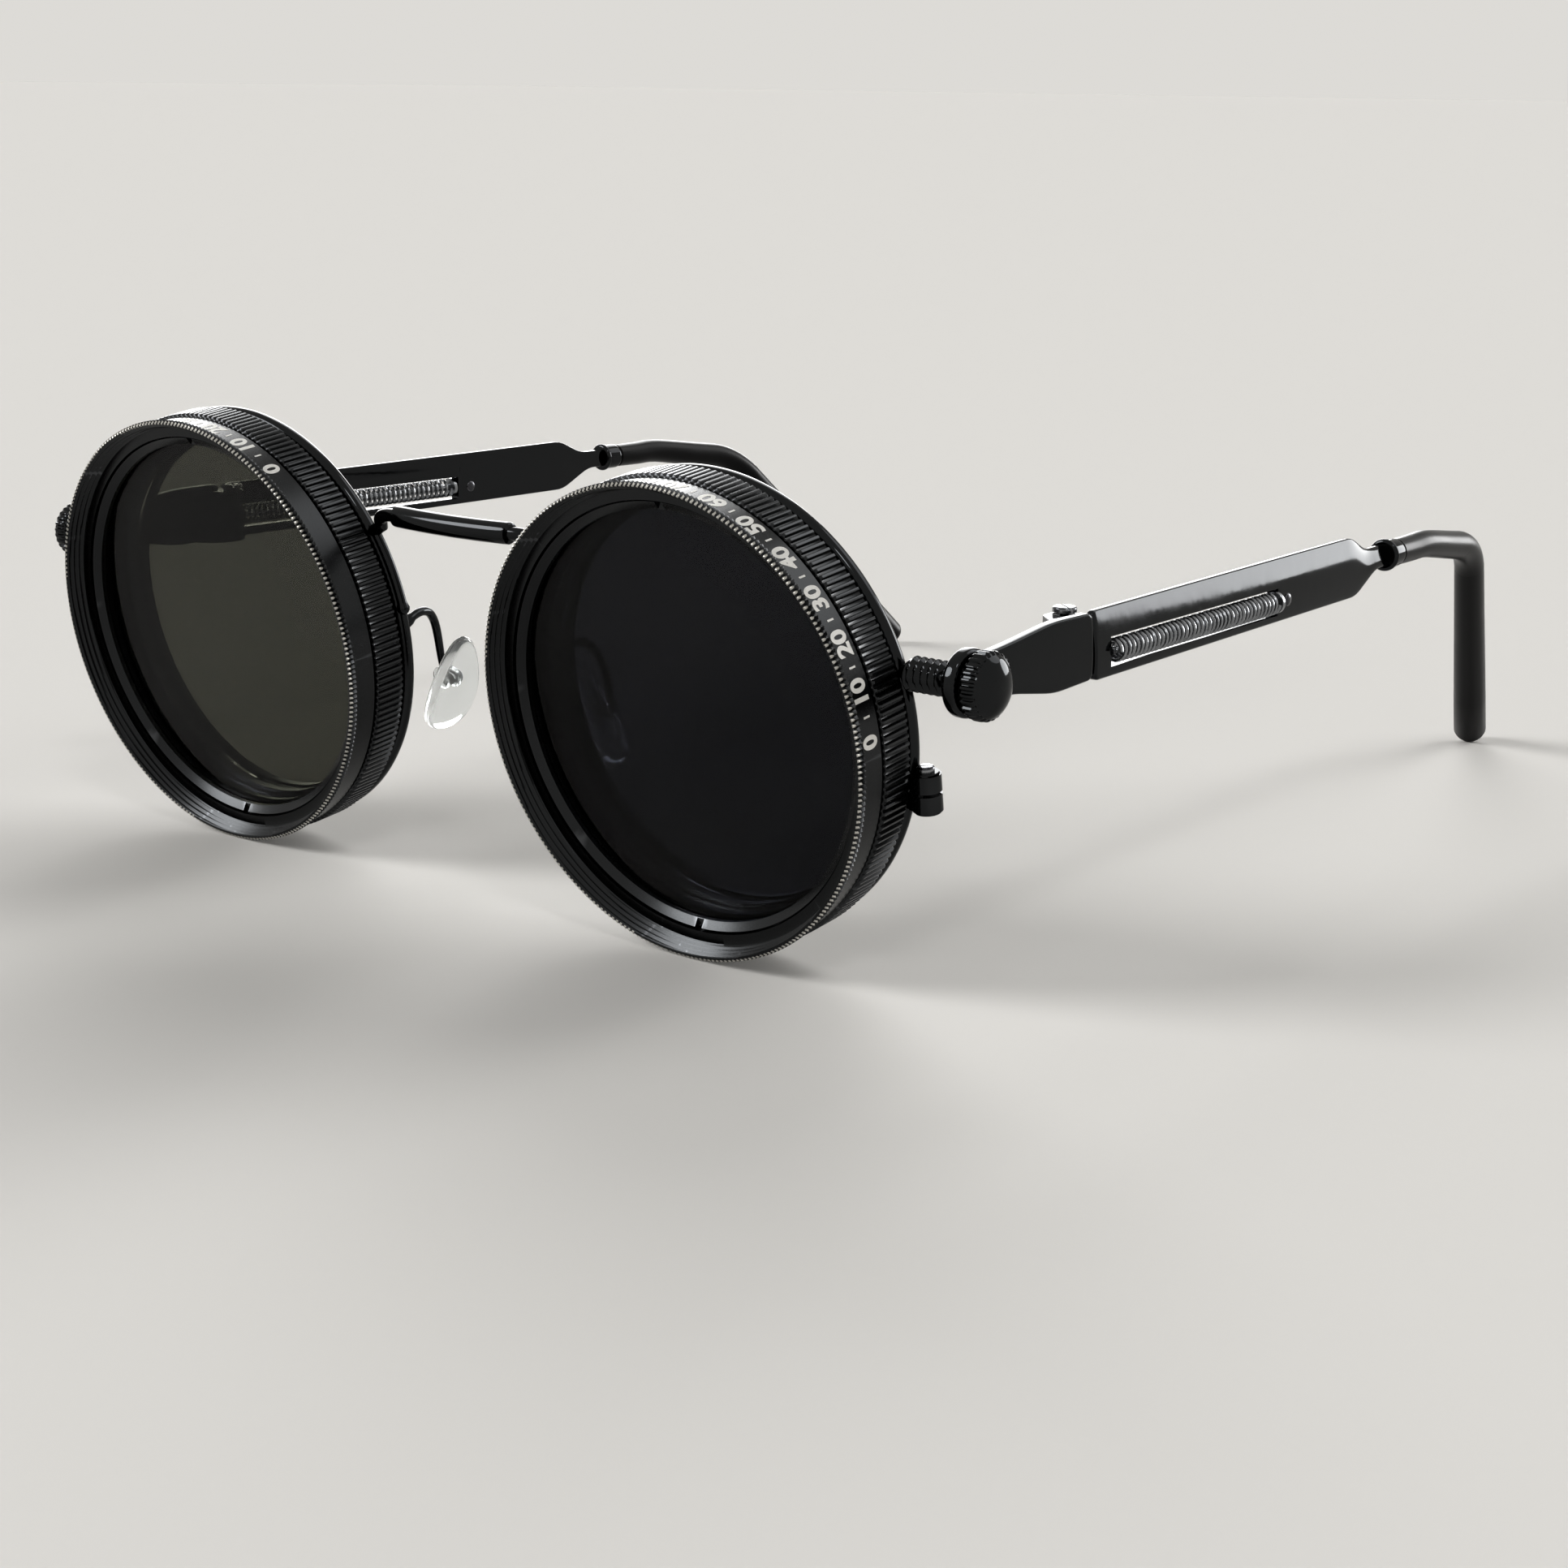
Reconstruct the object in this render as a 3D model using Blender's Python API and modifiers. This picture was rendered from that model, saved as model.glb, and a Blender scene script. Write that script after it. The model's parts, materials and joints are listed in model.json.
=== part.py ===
"""Round steampunk glasses: a pair of turning grey filters screwed into wire eyewires.

Run with blender --background --python part.py, or from the text editor.

The front is laid out in a lens frame: x across the face, y from the filters' front lips
towards the ears, z up from the line through the filter centres. It stands leaning forward
on the two lips and the two temple tips, so a tilted empty carries it. The temples and the
end pieces lie level, and are laid out in the standing frame with the same origin.
"""

import math

import bmesh
import bpy
from mathutils import Matrix, Vector

MM = 0.001
OBJECT_NAME = "steampunk_glasses"
CUTTERS_NAME = "cutters_and_joiners"

# Clearances and facet counts
FIT_GAP = 0.15 * MM
RUN_GAP = 0.2 * MM
CUT_OVERRUN = 1.0 * MM
WELD_DISTANCE = 0.0005 * MM
RING_STEPS = 40
SMALL_STEPS = 10
BOSS_STEPS = 16
PAD_STEPS = 12
CORNER_STEPS = 3
SMOOTH_ANGLE = math.radians(35.0)
LEAST_GAP_LIMIT = 10.0 * MM

# Where the filters sit, and how the front leans on the table
LIP_RADIUS = 27.0 * MM
NOSE_WIDTH = 22.8 * MM
LENS_SPACING = 2 * LIP_RADIUS + NOSE_WIDTH
LEAN_DEGREES = 8.0

# Turning ring of the filter, from its front lip backwards
LIP_WIDTH = 0.9 * MM
LIP_BEVEL = 0.2 * MM
LIP_STEP = 0.5 * MM
BAND_RADIUS = LIP_RADIUS - LIP_STEP
TURNING_DEPTH = 4.3 * MM
LIP_WALL = 1.1 * MM
FRONT_THREAD_RADIUS = LIP_RADIUS - LIP_WALL
FRONT_THREAD_LEAD = 0.4 * MM
FRONT_THREAD_DEPTH = 2.3 * MM
SKIRT_STEP = 1.5 * MM
SKIRT_RADIUS = BAND_RADIUS - SKIRT_STEP
SKIRT_DEPTH = 1.9 * MM
SKIRT_WALL = 0.6 * MM
FRONT_GLASS_RADIUS = SKIRT_RADIUS - SKIRT_WALL
FRONT_GLASS_THICKNESS = 1.4 * MM
FRONT_FLANGE_WIDTH = 1.2 * MM
FRONT_FLANGE_RADIUS = FRONT_GLASS_RADIUS - FRONT_FLANGE_WIDTH
FRONT_FLANGE_THICKNESS = 0.7 * MM
FRONT_RETAINER_THICKNESS = 1.2 * MM
FRONT_RETAINER_WIDTH = 1.0 * MM
FRONT_RETAINER_INNER_RADIUS = FRONT_GLASS_RADIUS - FRONT_RETAINER_WIDTH
RETAINER_BEVEL = 0.6 * MM
SPANNER_SLOT_WIDTH = 1.0 * MM
SPANNER_SLOT_DEPTH = 0.6 * MM

# Base ring of the filter, with its straight knurled grip and its rear spigot
GRIP_STEP = 0.1 * MM
GRIP_RADIUS = LIP_RADIUS - GRIP_STEP
GRIP_TOOTH_DEPTH = 0.4 * MM
GRIP_TEETH = 68
GRIP_LAND = 0.15 * MM
BASE_DEPTH = 4.2 * MM
FUNNEL_WALL = 3.5 * MM
FUNNEL_RADIUS = GRIP_RADIUS - FUNNEL_WALL
FUNNEL_TAPER = 1.0 * MM
VIEW_RADIUS = FUNNEL_RADIUS - FUNNEL_TAPER
VIEW_FLANGE_THICKNESS = 0.6 * MM
SPIGOT_STEP = 2.5 * MM
SPIGOT_RADIUS = GRIP_RADIUS - SPIGOT_STEP
SPIGOT_DEPTH = 3.0 * MM
SPIGOT_WALL = 1.3 * MM
REAR_GLASS_RADIUS = SPIGOT_RADIUS - SPIGOT_WALL
REAR_GLASS_THICKNESS = 1.2 * MM
REAR_RETAINER_THICKNESS = 1.0 * MM
REAR_RETAINER_WIDTH = 0.9 * MM
REAR_RETAINER_INNER_RADIUS = REAR_GLASS_RADIUS - REAR_RETAINER_WIDTH

# Eyewire with its closing block
EYEWIRE_STANDOFF = 0.6 * MM
EYEWIRE_WIDTH = 1.7 * MM
EYEWIRE_WALL = 2.05 * MM
EYEWIRE_RADIUS = SPIGOT_RADIUS + FIT_GAP + EYEWIRE_WALL
EYEWIRE_EDGE = 0.45 * MM
BLOCK_BARREL_RADIUS = 1.65 * MM
BLOCK_REACH = 1.5 * MM
BLOCK_HEIGHT = 4.6 * MM
BLOCK_DROP = 5.9 * MM
BLOCK_SLIT = 0.35 * MM
BLOCK_SCREW_RADIUS = 0.45 * MM
BLOCK_WEB_STEP = 0.1 * MM
BLOCK_WEB_ANGLE = 150.0

# Bridge bar and its thin necks
BRIDGE_RADIUS = 1.3 * MM
BRIDGE_NECK_RADIUS = 0.8 * MM
BRIDGE_HALF_BAR = 9.3 * MM
BRIDGE_RISE = 2.7 * MM
BRIDGE_DEPTH = 8.7 * MM
BRIDGE_BOW = 0.5 * MM
BRIDGE_NECK_STEP = 0.15 * MM
BRIDGE_FOOT_ANGLE = 149.9
BRIDGE_FOOT_RUN = 1.5 * MM

# Side stud and domed nut
STUD_RADIUS = 1.93 * MM
STUD_HEIGHT = 7.0 * MM
STUD_EXPOSED = 7.0 * MM
STUD_BITE = 2.0 * MM
NUT_RADIUS = 3.7 * MM
NUT_TOOTH_DEPTH = 0.3 * MM
NUT_TEETH = 16
NUT_BAND = 1.5 * MM
NUT_DOME = 1.95 * MM
NUT_GROOVE_DEPTH = 0.3 * MM
NUT_GROOVE_RADIUS = NUT_RADIUS - NUT_TOOTH_DEPTH - NUT_GROOVE_DEPTH
NUT_GROOVE_WIDTH = 0.3 * MM

# End piece: a plate from the stud to the hinge, with a thick eye at the stud
PLATE_THICKNESS = 1.6 * MM
PLATE_EDGE = 0.3 * MM
EYE_RADIUS = 3.65 * MM
EYE_THICKNESS = 1.7 * MM
EYE_EDGE = 0.5 * MM
END_PIECE_FRONT_HALF = 2.4 * MM
END_PIECE_TOP = 4.0 * MM
END_PIECE_BOTTOM = 3.75 * MM
END_PIECE_WAIST_TOP = 2.9 * MM
END_PIECE_WAIST_BOTTOM = 2.55 * MM
END_PIECE_CURVE = 6.0 * MM
WAIST_SHARE = 0.68
BELLY_SHARE = 0.33

# Temple hinge, whose screw stands upright inside the plates
HINGE_BACK = 22.25 * MM
HINGE_RISE = 0.3 * MM
HINGE_OFFSET = 2.5 * MM
HINGE_BARREL_RADIUS = 1.4 * MM
HINGE_HEIGHT = 7.0 * MM
HINGE_MIDDLE_SHARE = 0.36
HINGE_LEAF = 5.0 * MM
HINGE_SCREW_RADIUS = 0.55 * MM
HINGE_BUTT_GAP = 0.3 * MM

# Temple plate, its window and the decorative spring in it
TEMPLE_INWARD_DEGREES = 2.8
TEMPLE_ABOVE = 4.0 * MM
TEMPLE_BELOW = 3.6 * MM
TEMPLE_CORNER = 0.9 * MM
WINDOW_START = 3.4 * MM
WINDOW_LENGTH = 39.1 * MM
WINDOW_END = WINDOW_START + WINDOW_LENGTH
WINDOW_HEIGHT = 3.3 * MM
WINDOW_DROP = 0.8 * MM
TEMPLE_SOLID_LENGTH = 21.0 * MM
TEMPLE_SHOULDER_TOP = WINDOW_END + TEMPLE_SOLID_LENGTH
TEMPLE_SHOULDER_RISE = 0.35 * MM
TEMPLE_SHOULDER_STAGGER = 0.5 * MM
TEMPLE_SHOULDER_BOTTOM = TEMPLE_SHOULDER_TOP + TEMPLE_SHOULDER_STAGGER
TEMPLE_BOTTOM_RISE = 0.5 * MM
TEMPLE_TAPER_TOP = 4.3 * MM
TEMPLE_TAPER_BOTTOM = 5.5 * MM
TEMPLE_NECK_TOP = TEMPLE_SHOULDER_TOP + TEMPLE_TAPER_TOP
TEMPLE_NECK_BOTTOM = TEMPLE_SHOULDER_BOTTOM + TEMPLE_TAPER_BOTTOM
TEMPLE_NECK_HALF = 1.3 * MM
TEMPLE_NECK_RISE = 1.0 * MM
TEMPLE_NECK_LENGTH = 7.4 * MM
TEMPLE_NECK_END = TEMPLE_NECK_TOP + TEMPLE_NECK_LENGTH
SPRING_SIDE_GAP = 0.25 * MM
SPRING_RADIUS = WINDOW_HEIGHT / 2 - SPRING_SIDE_GAP
SPRING_WIRE_RADIUS = 0.19 * MM
SPRING_TURNS = 25
SPRING_POINTS_PER_TURN = 8
SPRING_ROD_RADIUS = 0.7 * MM
SPRING_SEAT_RADIUS = 1.35 * MM
SPRING_SEAT_THICKNESS = 0.6 * MM
SPRING_PIN_RADIUS = 0.8 * MM
SPRING_PIN_SETBACK = 2.4 * MM
SPRING_PIN_PROUD = 0.25 * MM

# Collar and temple tip
COLLAR_BORE = math.hypot(PLATE_THICKNESS / 2, TEMPLE_NECK_HALF) + FIT_GAP
COLLAR_WALL = 0.4 * MM
COLLAR_RADIUS = COLLAR_BORE + COLLAR_WALL
COLLAR_LENGTH = 3.2 * MM
COLLAR_EDGE = 0.25 * MM
COLLAR_NECK_COVER = 2.6 * MM
CORE_RADIUS = 0.75 * MM
CORE_LENGTH = 8.0 * MM
TIP_START_RADIUS = 1.7 * MM
TIP_END_RADIUS = 2.4 * MM
TIP_STRAIGHT = 26.0 * MM
TIP_STRAIGHT_INWARD = 0.9 * MM
TIP_STRAIGHT_DROP = 2.4 * MM
TIP_HOOK_BACK = 30.0 * MM
TIP_HOOK_INWARD = 10.5 * MM
TIP_BEND = 5.0 * MM
TIP_REST_SHARE = 0.45
TIP_BEND_STEPS = 6
TIP_ROUND_SHARE = 0.6

# Nose pads on their arms
PAD_LENGTH = 13.5 * MM
PAD_WIDTH = 7.2 * MM
PAD_THICKNESS = 2.0 * MM
PAD_TAPER_SHARE = 0.3
PAD_HALF_SPREAD = 12.2 * MM
PAD_BACK = 17.0 * MM
PAD_DROP = 7.6 * MM
PAD_LEAN_DEGREES = 23.4
PAD_TURN_DEGREES = -8.0
PAD_PIVOT_STANDOFF = 1.0 * MM
PAD_EAR_RADIUS = 1.15 * MM
PAD_EAR_THICKNESS = 0.5 * MM
PAD_SCREW_RADIUS = 0.3 * MM
PAD_ARM_RADIUS = 0.55 * MM
PAD_ARM_EYE_RADIUS = 0.85 * MM
PAD_ARM_EYE_THICKNESS = 0.7 * MM
PAD_EAR_CLEARANCE = 0.2 * MM
PAD_EAR_GAP = PAD_ARM_EYE_THICKNESS + 2 * PAD_EAR_CLEARANCE
PAD_ARM_FOOT_ANGLE = 176.0
PAD_ARM_NECK_SHARE = 0.6
PAD_ARM_LOOP_BACK = 6.5 * MM
PAD_ARM_LOOP_RISE = 3.0 * MM
PAD_ARM_STEPS = 9

# Slotted screws
SCREW_HEAD_SHARE = 2.0
SCREW_CROWN_SHARE = 0.75
SCREW_HEAD_HEIGHT = 0.6 * MM
SCREW_SLOT_WIDTH = 0.4 * MM
SCREW_SLOT_DEPTH = 0.3 * MM

# Places that follow from the sizes above
HALF_SPACING = LENS_SPACING / 2
SKIRT_END = TURNING_DEPTH + SKIRT_DEPTH
FRONT_GLASS_BACK = SKIRT_END - FRONT_FLANGE_THICKNESS - FIT_GAP
FRONT_GLASS_FACE = FRONT_GLASS_BACK - FRONT_GLASS_THICKNESS
BASE_FRONT = TURNING_DEPTH + RUN_GAP
BASE_BACK = BASE_FRONT + BASE_DEPTH
SPIGOT_END = BASE_BACK + SPIGOT_DEPTH
REAR_GLASS_FACE = BASE_BACK + FIT_GAP
REAR_RETAINER_FACE = REAR_GLASS_FACE + REAR_GLASS_THICKNESS + FIT_GAP
EYEWIRE_FRONT = BASE_BACK + EYEWIRE_STANDOFF
EYEWIRE_MIDDLE = EYEWIRE_FRONT + EYEWIRE_WIDTH / 2
EYEWIRE_BACK = EYEWIRE_FRONT + EYEWIRE_WIDTH
BRIDGE_HEIGHT = (EYEWIRE_RADIUS + FIT_GAP) * math.sin(math.radians(BRIDGE_FOOT_ANGLE))
BRIDGE_HEIGHT += BRIDGE_RISE
RIM_REACH = HALF_SPACING + math.sqrt(EYEWIRE_RADIUS**2 - STUD_HEIGHT**2)
EYE_FACE = RIM_REACH + STUD_EXPOSED
EYE_MIDDLE = EYE_FACE + EYE_THICKNESS / 2
NUT_FACE = EYE_FACE + EYE_THICKNESS + FIT_GAP
PLATE_INNER = EYE_MIDDLE - PLATE_THICKNESS / 2
HINGE_SIDE = PLATE_INNER - HINGE_OFFSET
STANDING_EYE = EYEWIRE_MIDDLE * math.sin(math.radians(LEAN_DEGREES))
STANDING_EYE += STUD_HEIGHT * math.cos(math.radians(LEAN_DEGREES))
STANDING_BEND = STANDING_EYE + HINGE_RISE + TEMPLE_NECK_RISE - TIP_STRAIGHT_DROP
TABLE_LEVEL = -LIP_RADIUS * math.cos(math.radians(LEAN_DEGREES))
TIP_HOOK_DROP = STANDING_BEND - TABLE_LEVEL - TIP_END_RADIUS * TIP_REST_SHARE


def clear_scene():
    for obj in list(bpy.data.objects):
        bpy.data.objects.remove(obj, do_unlink=True)


def make_collections():
    for name in (OBJECT_NAME, CUTTERS_NAME):
        collection = bpy.data.collections.new(name)
        bpy.context.scene.collection.children.link(collection)
    bpy.data.collections[CUTTERS_NAME].hide_render = True


def make_finish(name, colour, metallic, roughness, alpha=1.0):
    finish = bpy.data.materials.new(name)
    finish.use_nodes = True
    surface = finish.node_tree.nodes["Principled BSDF"]
    surface.inputs["Base Color"].default_value = (*colour, 1.0)
    surface.inputs["Metallic"].default_value = metallic
    surface.inputs["Roughness"].default_value = roughness
    surface.inputs["Alpha"].default_value = alpha
    return finish


def make_finishes():
    return {
        "anodised": make_finish("anodised_black", (0.012, 0.013, 0.015), 0.6, 0.42),
        "plated": make_finish("gloss_black_plate", (0.006, 0.006, 0.007), 0.8, 0.12),
        "steel": make_finish("dark_spring_steel", (0.11, 0.11, 0.115), 1.0, 0.25),
        "screw": make_finish("black_screw", (0.02, 0.02, 0.022), 1.0, 0.22),
        "tip": make_finish("black_tip", (0.008, 0.008, 0.009), 0.0, 0.3),
        "pad": make_finish("clear_silicone", (0.85, 0.87, 0.88), 0.0, 0.15, 0.45),
        "left_glass": make_finish("dark_grey_glass", (0.004, 0.004, 0.005), 0.0, 0.03, 0.95),
        "right_glass": make_finish("olive_grey_glass", (0.02, 0.021, 0.013), 0.0, 0.03, 0.8),
    }


def make_empty(name, parent, location=(0.0, 0.0, 0.0), rotation=(0.0, 0.0, 0.0)):
    empty = bpy.data.objects.new(name, None)
    bpy.data.collections[OBJECT_NAME].objects.link(empty)
    empty.empty_display_size = GRIP_TOOTH_DEPTH
    empty.parent = parent
    empty.location = location
    empty.rotation_euler = rotation
    return empty


def add_object(name, data, parent, location, rotation, finish=None):
    """A part of the glasses, or a hidden helper where it has no finish."""
    obj = bpy.data.objects.new(name, data)
    home = OBJECT_NAME if finish else CUTTERS_NAME
    bpy.data.collections[home].objects.link(obj)
    obj.parent = parent
    obj.location = location
    obj.rotation_euler = rotation
    if finish:
        data.materials.append(finish)
    else:
        obj.hide_render = True
        obj.display_type = "WIRE"
    return obj


def from_bmesh(name, work, smooth=True):
    mesh = bpy.data.meshes.new(name)
    work.to_mesh(mesh)
    work.free()
    if smooth:
        mesh.shade_smooth()
        mesh.set_sharp_from_angle(angle=SMOOTH_ANGLE)
    return mesh


def turned(name, profile, parent, location, rotation, finish=None, steps=None, closed=True):
    """A profile of (radius, height) turned about the local Z axis."""
    steps = steps or RING_STEPS
    mesh = bpy.data.meshes.new(name)
    edges = [(i, i + 1) for i in range(len(profile) - 1)]
    if closed:
        edges.append((len(profile) - 1, 0))
    mesh.from_pydata([(r, 0.0, h) for r, h in profile], edges, [])
    obj = add_object(name, mesh, parent, location, rotation, finish)
    screw = obj.modifiers.new("Turn", "SCREW")
    screw.axis = "Z"
    screw.angle = math.tau
    screw.steps = steps
    screw.render_steps = steps
    screw.use_merge_vertices = True
    screw.merge_threshold = WELD_DISTANCE
    screw.use_smooth_shade = False
    return obj


def cylinder(name, radius, length, parent, location, rotation, finish=None, steps=None):
    work = bmesh.new()
    bmesh.ops.create_cone(
        work,
        cap_ends=True,
        segments=steps or SMALL_STEPS,
        radius1=radius,
        radius2=radius,
        depth=length,
    )
    return add_object(name, from_bmesh(name, work), parent, location, rotation, finish)


def box(name, size, parent, location, rotation, finish=None):
    work = bmesh.new()
    bmesh.ops.create_cube(work, size=1.0)
    bmesh.ops.scale(work, vec=size, verts=work.verts)
    return add_object(name, from_bmesh(name, work, False), parent, location, rotation, finish)


def combine(obj, helper, operation):
    modifier = obj.modifiers.new(helper.name, "BOOLEAN")
    modifier.operation = operation
    modifier.solver = "EXACT"
    modifier.object = helper


def soften(obj, width):
    bevel = obj.modifiers.new("Edges", "BEVEL")
    bevel.width = width
    bevel.segments = 1
    bevel.limit_method = "ANGLE"
    bevel.angle_limit = SMOOTH_ANGLE


def curve_to_mesh(obj, finish):
    """Turns a curve object into a mesh object with its caps welded, so it can be cut."""
    bpy.context.view_layer.update()
    graph = bpy.context.evaluated_depsgraph_get()
    mesh = bpy.data.meshes.new_from_object(obj.evaluated_get(graph))
    work = bmesh.new()
    work.from_mesh(mesh)
    bmesh.ops.remove_doubles(work, verts=work.verts, dist=WELD_DISTANCE)
    bmesh.ops.recalc_face_normals(work, faces=work.faces)
    work.to_mesh(mesh)
    work.free()
    mesh.materials.clear()
    name = obj.name
    curve = obj.data
    place = (obj.parent, obj.location.copy(), obj.rotation_euler.copy())
    bpy.data.objects.remove(obj, do_unlink=True)
    bpy.data.curves.remove(curve)
    mesh.name = name
    return add_object(name, mesh, *place, finish)


def flat_solid(name, outlines, thickness, parent, location, rotation, finish=None):
    """A solid plate from closed outlines in its local XY plane; inner outlines are holes."""
    curve = bpy.data.curves.new(name, "CURVE")
    curve.dimensions = "2D"
    curve.fill_mode = "BOTH"
    curve.extrude = thickness / 2
    for outline in outlines:
        spline = curve.splines.new("POLY")
        spline.points.add(len(outline) - 1)
        for point, (u, v) in zip(spline.points, outline):
            point.co = (u, v, 0.0, 1.0)
        spline.use_cyclic_u = True
    obj = add_object(name, curve, parent, location, rotation)
    return curve_to_mesh(obj, finish)


def tube(name, points, radius, parent, location, rotation, finish, shares=None, sides=1):
    """A round wire through the points; shares scale its radius at each point."""
    curve = bpy.data.curves.new(name, "CURVE")
    curve.dimensions = "3D"
    curve.bevel_depth = radius
    curve.bevel_resolution = sides
    curve.use_fill_caps = True
    spline = curve.splines.new("POLY")
    spline.points.add(len(points) - 1)
    for index, (point, place) in enumerate(zip(spline.points, points)):
        point.co = (*place, 1.0)
        point.radius = shares[index] if shares else 1.0
    return add_object(name, curve, parent, location, rotation, finish)


def arc(centre, radius, start, end, count):
    """Points on an arc about centre, from start to end in degrees."""
    points = []
    for index in range(count + 1):
        turn = math.radians(start + (end - start) * index / count)
        points.append((centre[0] + radius * math.cos(turn), centre[1] + radius * math.sin(turn)))
    return points


def rounded(corners):
    """An outline through (u, v, radius) corners, each corner cut by a short arc."""
    outline = []
    count = len(corners)
    for index, (u, v, radius) in enumerate(corners):
        here = Vector((u, v))
        if not radius:
            outline.append((u, v))
            continue
        before = Vector(corners[index - 1][:2]) - here
        after = Vector(corners[(index + 1) % count][:2]) - here
        half = before.angle(after) / 2
        reach = min(radius / math.tan(half), before.length / 2, after.length / 2)
        first = here + before.normalized() * reach
        last = here + after.normalized() * reach
        for step in range(CORNER_STEPS + 1):
            t = step / CORNER_STEPS
            place = first.lerp(here, t).lerp(here.lerp(last, t), t)
            outline.append(tuple(place))
    return outline


def star(radius, depth, teeth):
    """The outline of a straight knurl: ridges of the depth all round."""
    outline = []
    for index in range(2 * teeth):
        turn = math.pi * index / teeth
        reach = radius if index % 2 else radius - depth
        outline.append((reach * math.cos(turn), reach * math.sin(turn)))
    return outline


def slotted_screw(name, radius, length, parent, location, rotation, finish):
    """A cheese-headed screw whose head starts at the location and points along +Z."""
    head = radius * SCREW_HEAD_SHARE
    profile = [
        (0.0, SCREW_HEAD_HEIGHT),
        (head * SCREW_CROWN_SHARE, SCREW_HEAD_HEIGHT),
        (head, SCREW_HEAD_HEIGHT / 2),
        (head, 0.0),
        (radius, 0.0),
        (radius, -length),
        (0.0, -length),
    ]
    steps = SMALL_STEPS
    screw = turned(name, profile, parent, location, rotation, finish, steps, False)
    slot_size = (head * 2 + CUT_OVERRUN, SCREW_SLOT_WIDTH, SCREW_SLOT_DEPTH * 2)
    lift = Vector((0.0, 0.0, SCREW_HEAD_HEIGHT))
    lift.rotate(screw.rotation_euler)
    slot = box(name + "_slot", slot_size, parent, Vector(location) + lift, rotation)
    combine(screw, slot, "DIFFERENCE")
    return screw


def lens_rotation():
    """Turns a local Z axis to the lens axis, pointing backwards."""
    return (-math.pi / 2, 0.0, 0.0)


def side_rotation(side):
    """Turns a local Z axis to point outwards along X on this side."""
    return (0.0, side * math.pi / 2, 0.0)


def upright_plate_rotation():
    """Stands a flat outline up in the YZ plane: local X to Y, local Y to Z."""
    return Matrix(((0.0, 0.0, 1.0), (1.0, 0.0, 0.0), (0.0, 1.0, 0.0))).to_euler()


def build_turning_ring(label, axis, finishes):
    profile = [
        (SKIRT_RADIUS, SKIRT_END),
        (SKIRT_RADIUS, TURNING_DEPTH),
        (BAND_RADIUS, TURNING_DEPTH),
        (BAND_RADIUS, LIP_WIDTH + LIP_BEVEL),
        (LIP_RADIUS, LIP_WIDTH),
        (LIP_RADIUS, 0.0),
        (FRONT_THREAD_RADIUS + FRONT_THREAD_LEAD, 0.0),
        (FRONT_THREAD_RADIUS, FRONT_THREAD_LEAD),
        (FRONT_THREAD_RADIUS, FRONT_THREAD_DEPTH),
        (FRONT_GLASS_RADIUS + FIT_GAP, FRONT_THREAD_DEPTH),
        (FRONT_GLASS_RADIUS + FIT_GAP, FRONT_GLASS_BACK + FIT_GAP),
        (FRONT_FLANGE_RADIUS, FRONT_GLASS_BACK + FIT_GAP),
        (FRONT_FLANGE_RADIUS, SKIRT_END),
    ]
    finish = finishes["anodised"]
    turned(label + "turning_ring", profile, axis, (0, 0, 0), lens_rotation(), finish)


def build_glass(name, radius, thickness, face, carrier, finish):
    middle = (0.0, face + thickness / 2, 0.0)
    cylinder(name, radius, thickness, carrier, middle, lens_rotation(), finish, RING_STEPS)


def build_front_retainer(label, axis, finishes):
    back = FRONT_GLASS_FACE - FIT_GAP
    front = back - FRONT_RETAINER_THICKNESS
    profile = [
        (FRONT_GLASS_RADIUS, back),
        (FRONT_GLASS_RADIUS, front),
        (FRONT_RETAINER_INNER_RADIUS + RETAINER_BEVEL, front),
        (FRONT_RETAINER_INNER_RADIUS, front + RETAINER_BEVEL),
        (FRONT_RETAINER_INNER_RADIUS, back),
    ]
    name = label + "front_retainer"
    ring = turned(name, profile, axis, (0, 0, 0), lens_rotation(), finishes["anodised"])
    reach = 2 * FRONT_GLASS_RADIUS + CUT_OVERRUN
    size = (SPANNER_SLOT_WIDTH, 2 * SPANNER_SLOT_DEPTH, reach)
    slots = box(name + "_slots", size, axis, (0.0, front, 0.0), (0.0, 0.0, 0.0))
    combine(ring, slots, "DIFFERENCE")


def build_filter_base(label, lens, finishes):
    core = GRIP_RADIUS - GRIP_TOOTH_DEPTH - GRIP_LAND
    recess = SKIRT_RADIUS + RUN_GAP
    pocket = REAR_GLASS_RADIUS + FIT_GAP
    profile = [
        (SPIGOT_RADIUS, SPIGOT_END),
        (SPIGOT_RADIUS, BASE_BACK),
        (core, BASE_BACK),
        (core, BASE_FRONT),
        (recess, BASE_FRONT),
        (recess, SKIRT_END + RUN_GAP),
        (FUNNEL_RADIUS, SKIRT_END + RUN_GAP),
        (VIEW_RADIUS, BASE_BACK - VIEW_FLANGE_THICKNESS),
        (VIEW_RADIUS, BASE_BACK),
        (pocket, BASE_BACK),
        (pocket, SPIGOT_END),
    ]
    name = label + "filter_base"
    ring = turned(name, profile, lens, (0, 0, 0), lens_rotation(), finishes["anodised"])
    inner = (recess + core) / 2
    outlines = [star(GRIP_RADIUS, GRIP_TOOTH_DEPTH, GRIP_TEETH)]
    outlines.append(arc((0.0, 0.0), inner, 0.0, 360.0 - 360.0 / RING_STEPS, RING_STEPS - 1))
    depth = BASE_DEPTH - 2 * GRIP_LAND
    middle = (0.0, BASE_FRONT + BASE_DEPTH / 2, 0.0)
    grip = flat_solid(name + "_grip", outlines, depth, lens, middle, lens_rotation())
    combine(ring, grip, "UNION")


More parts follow.
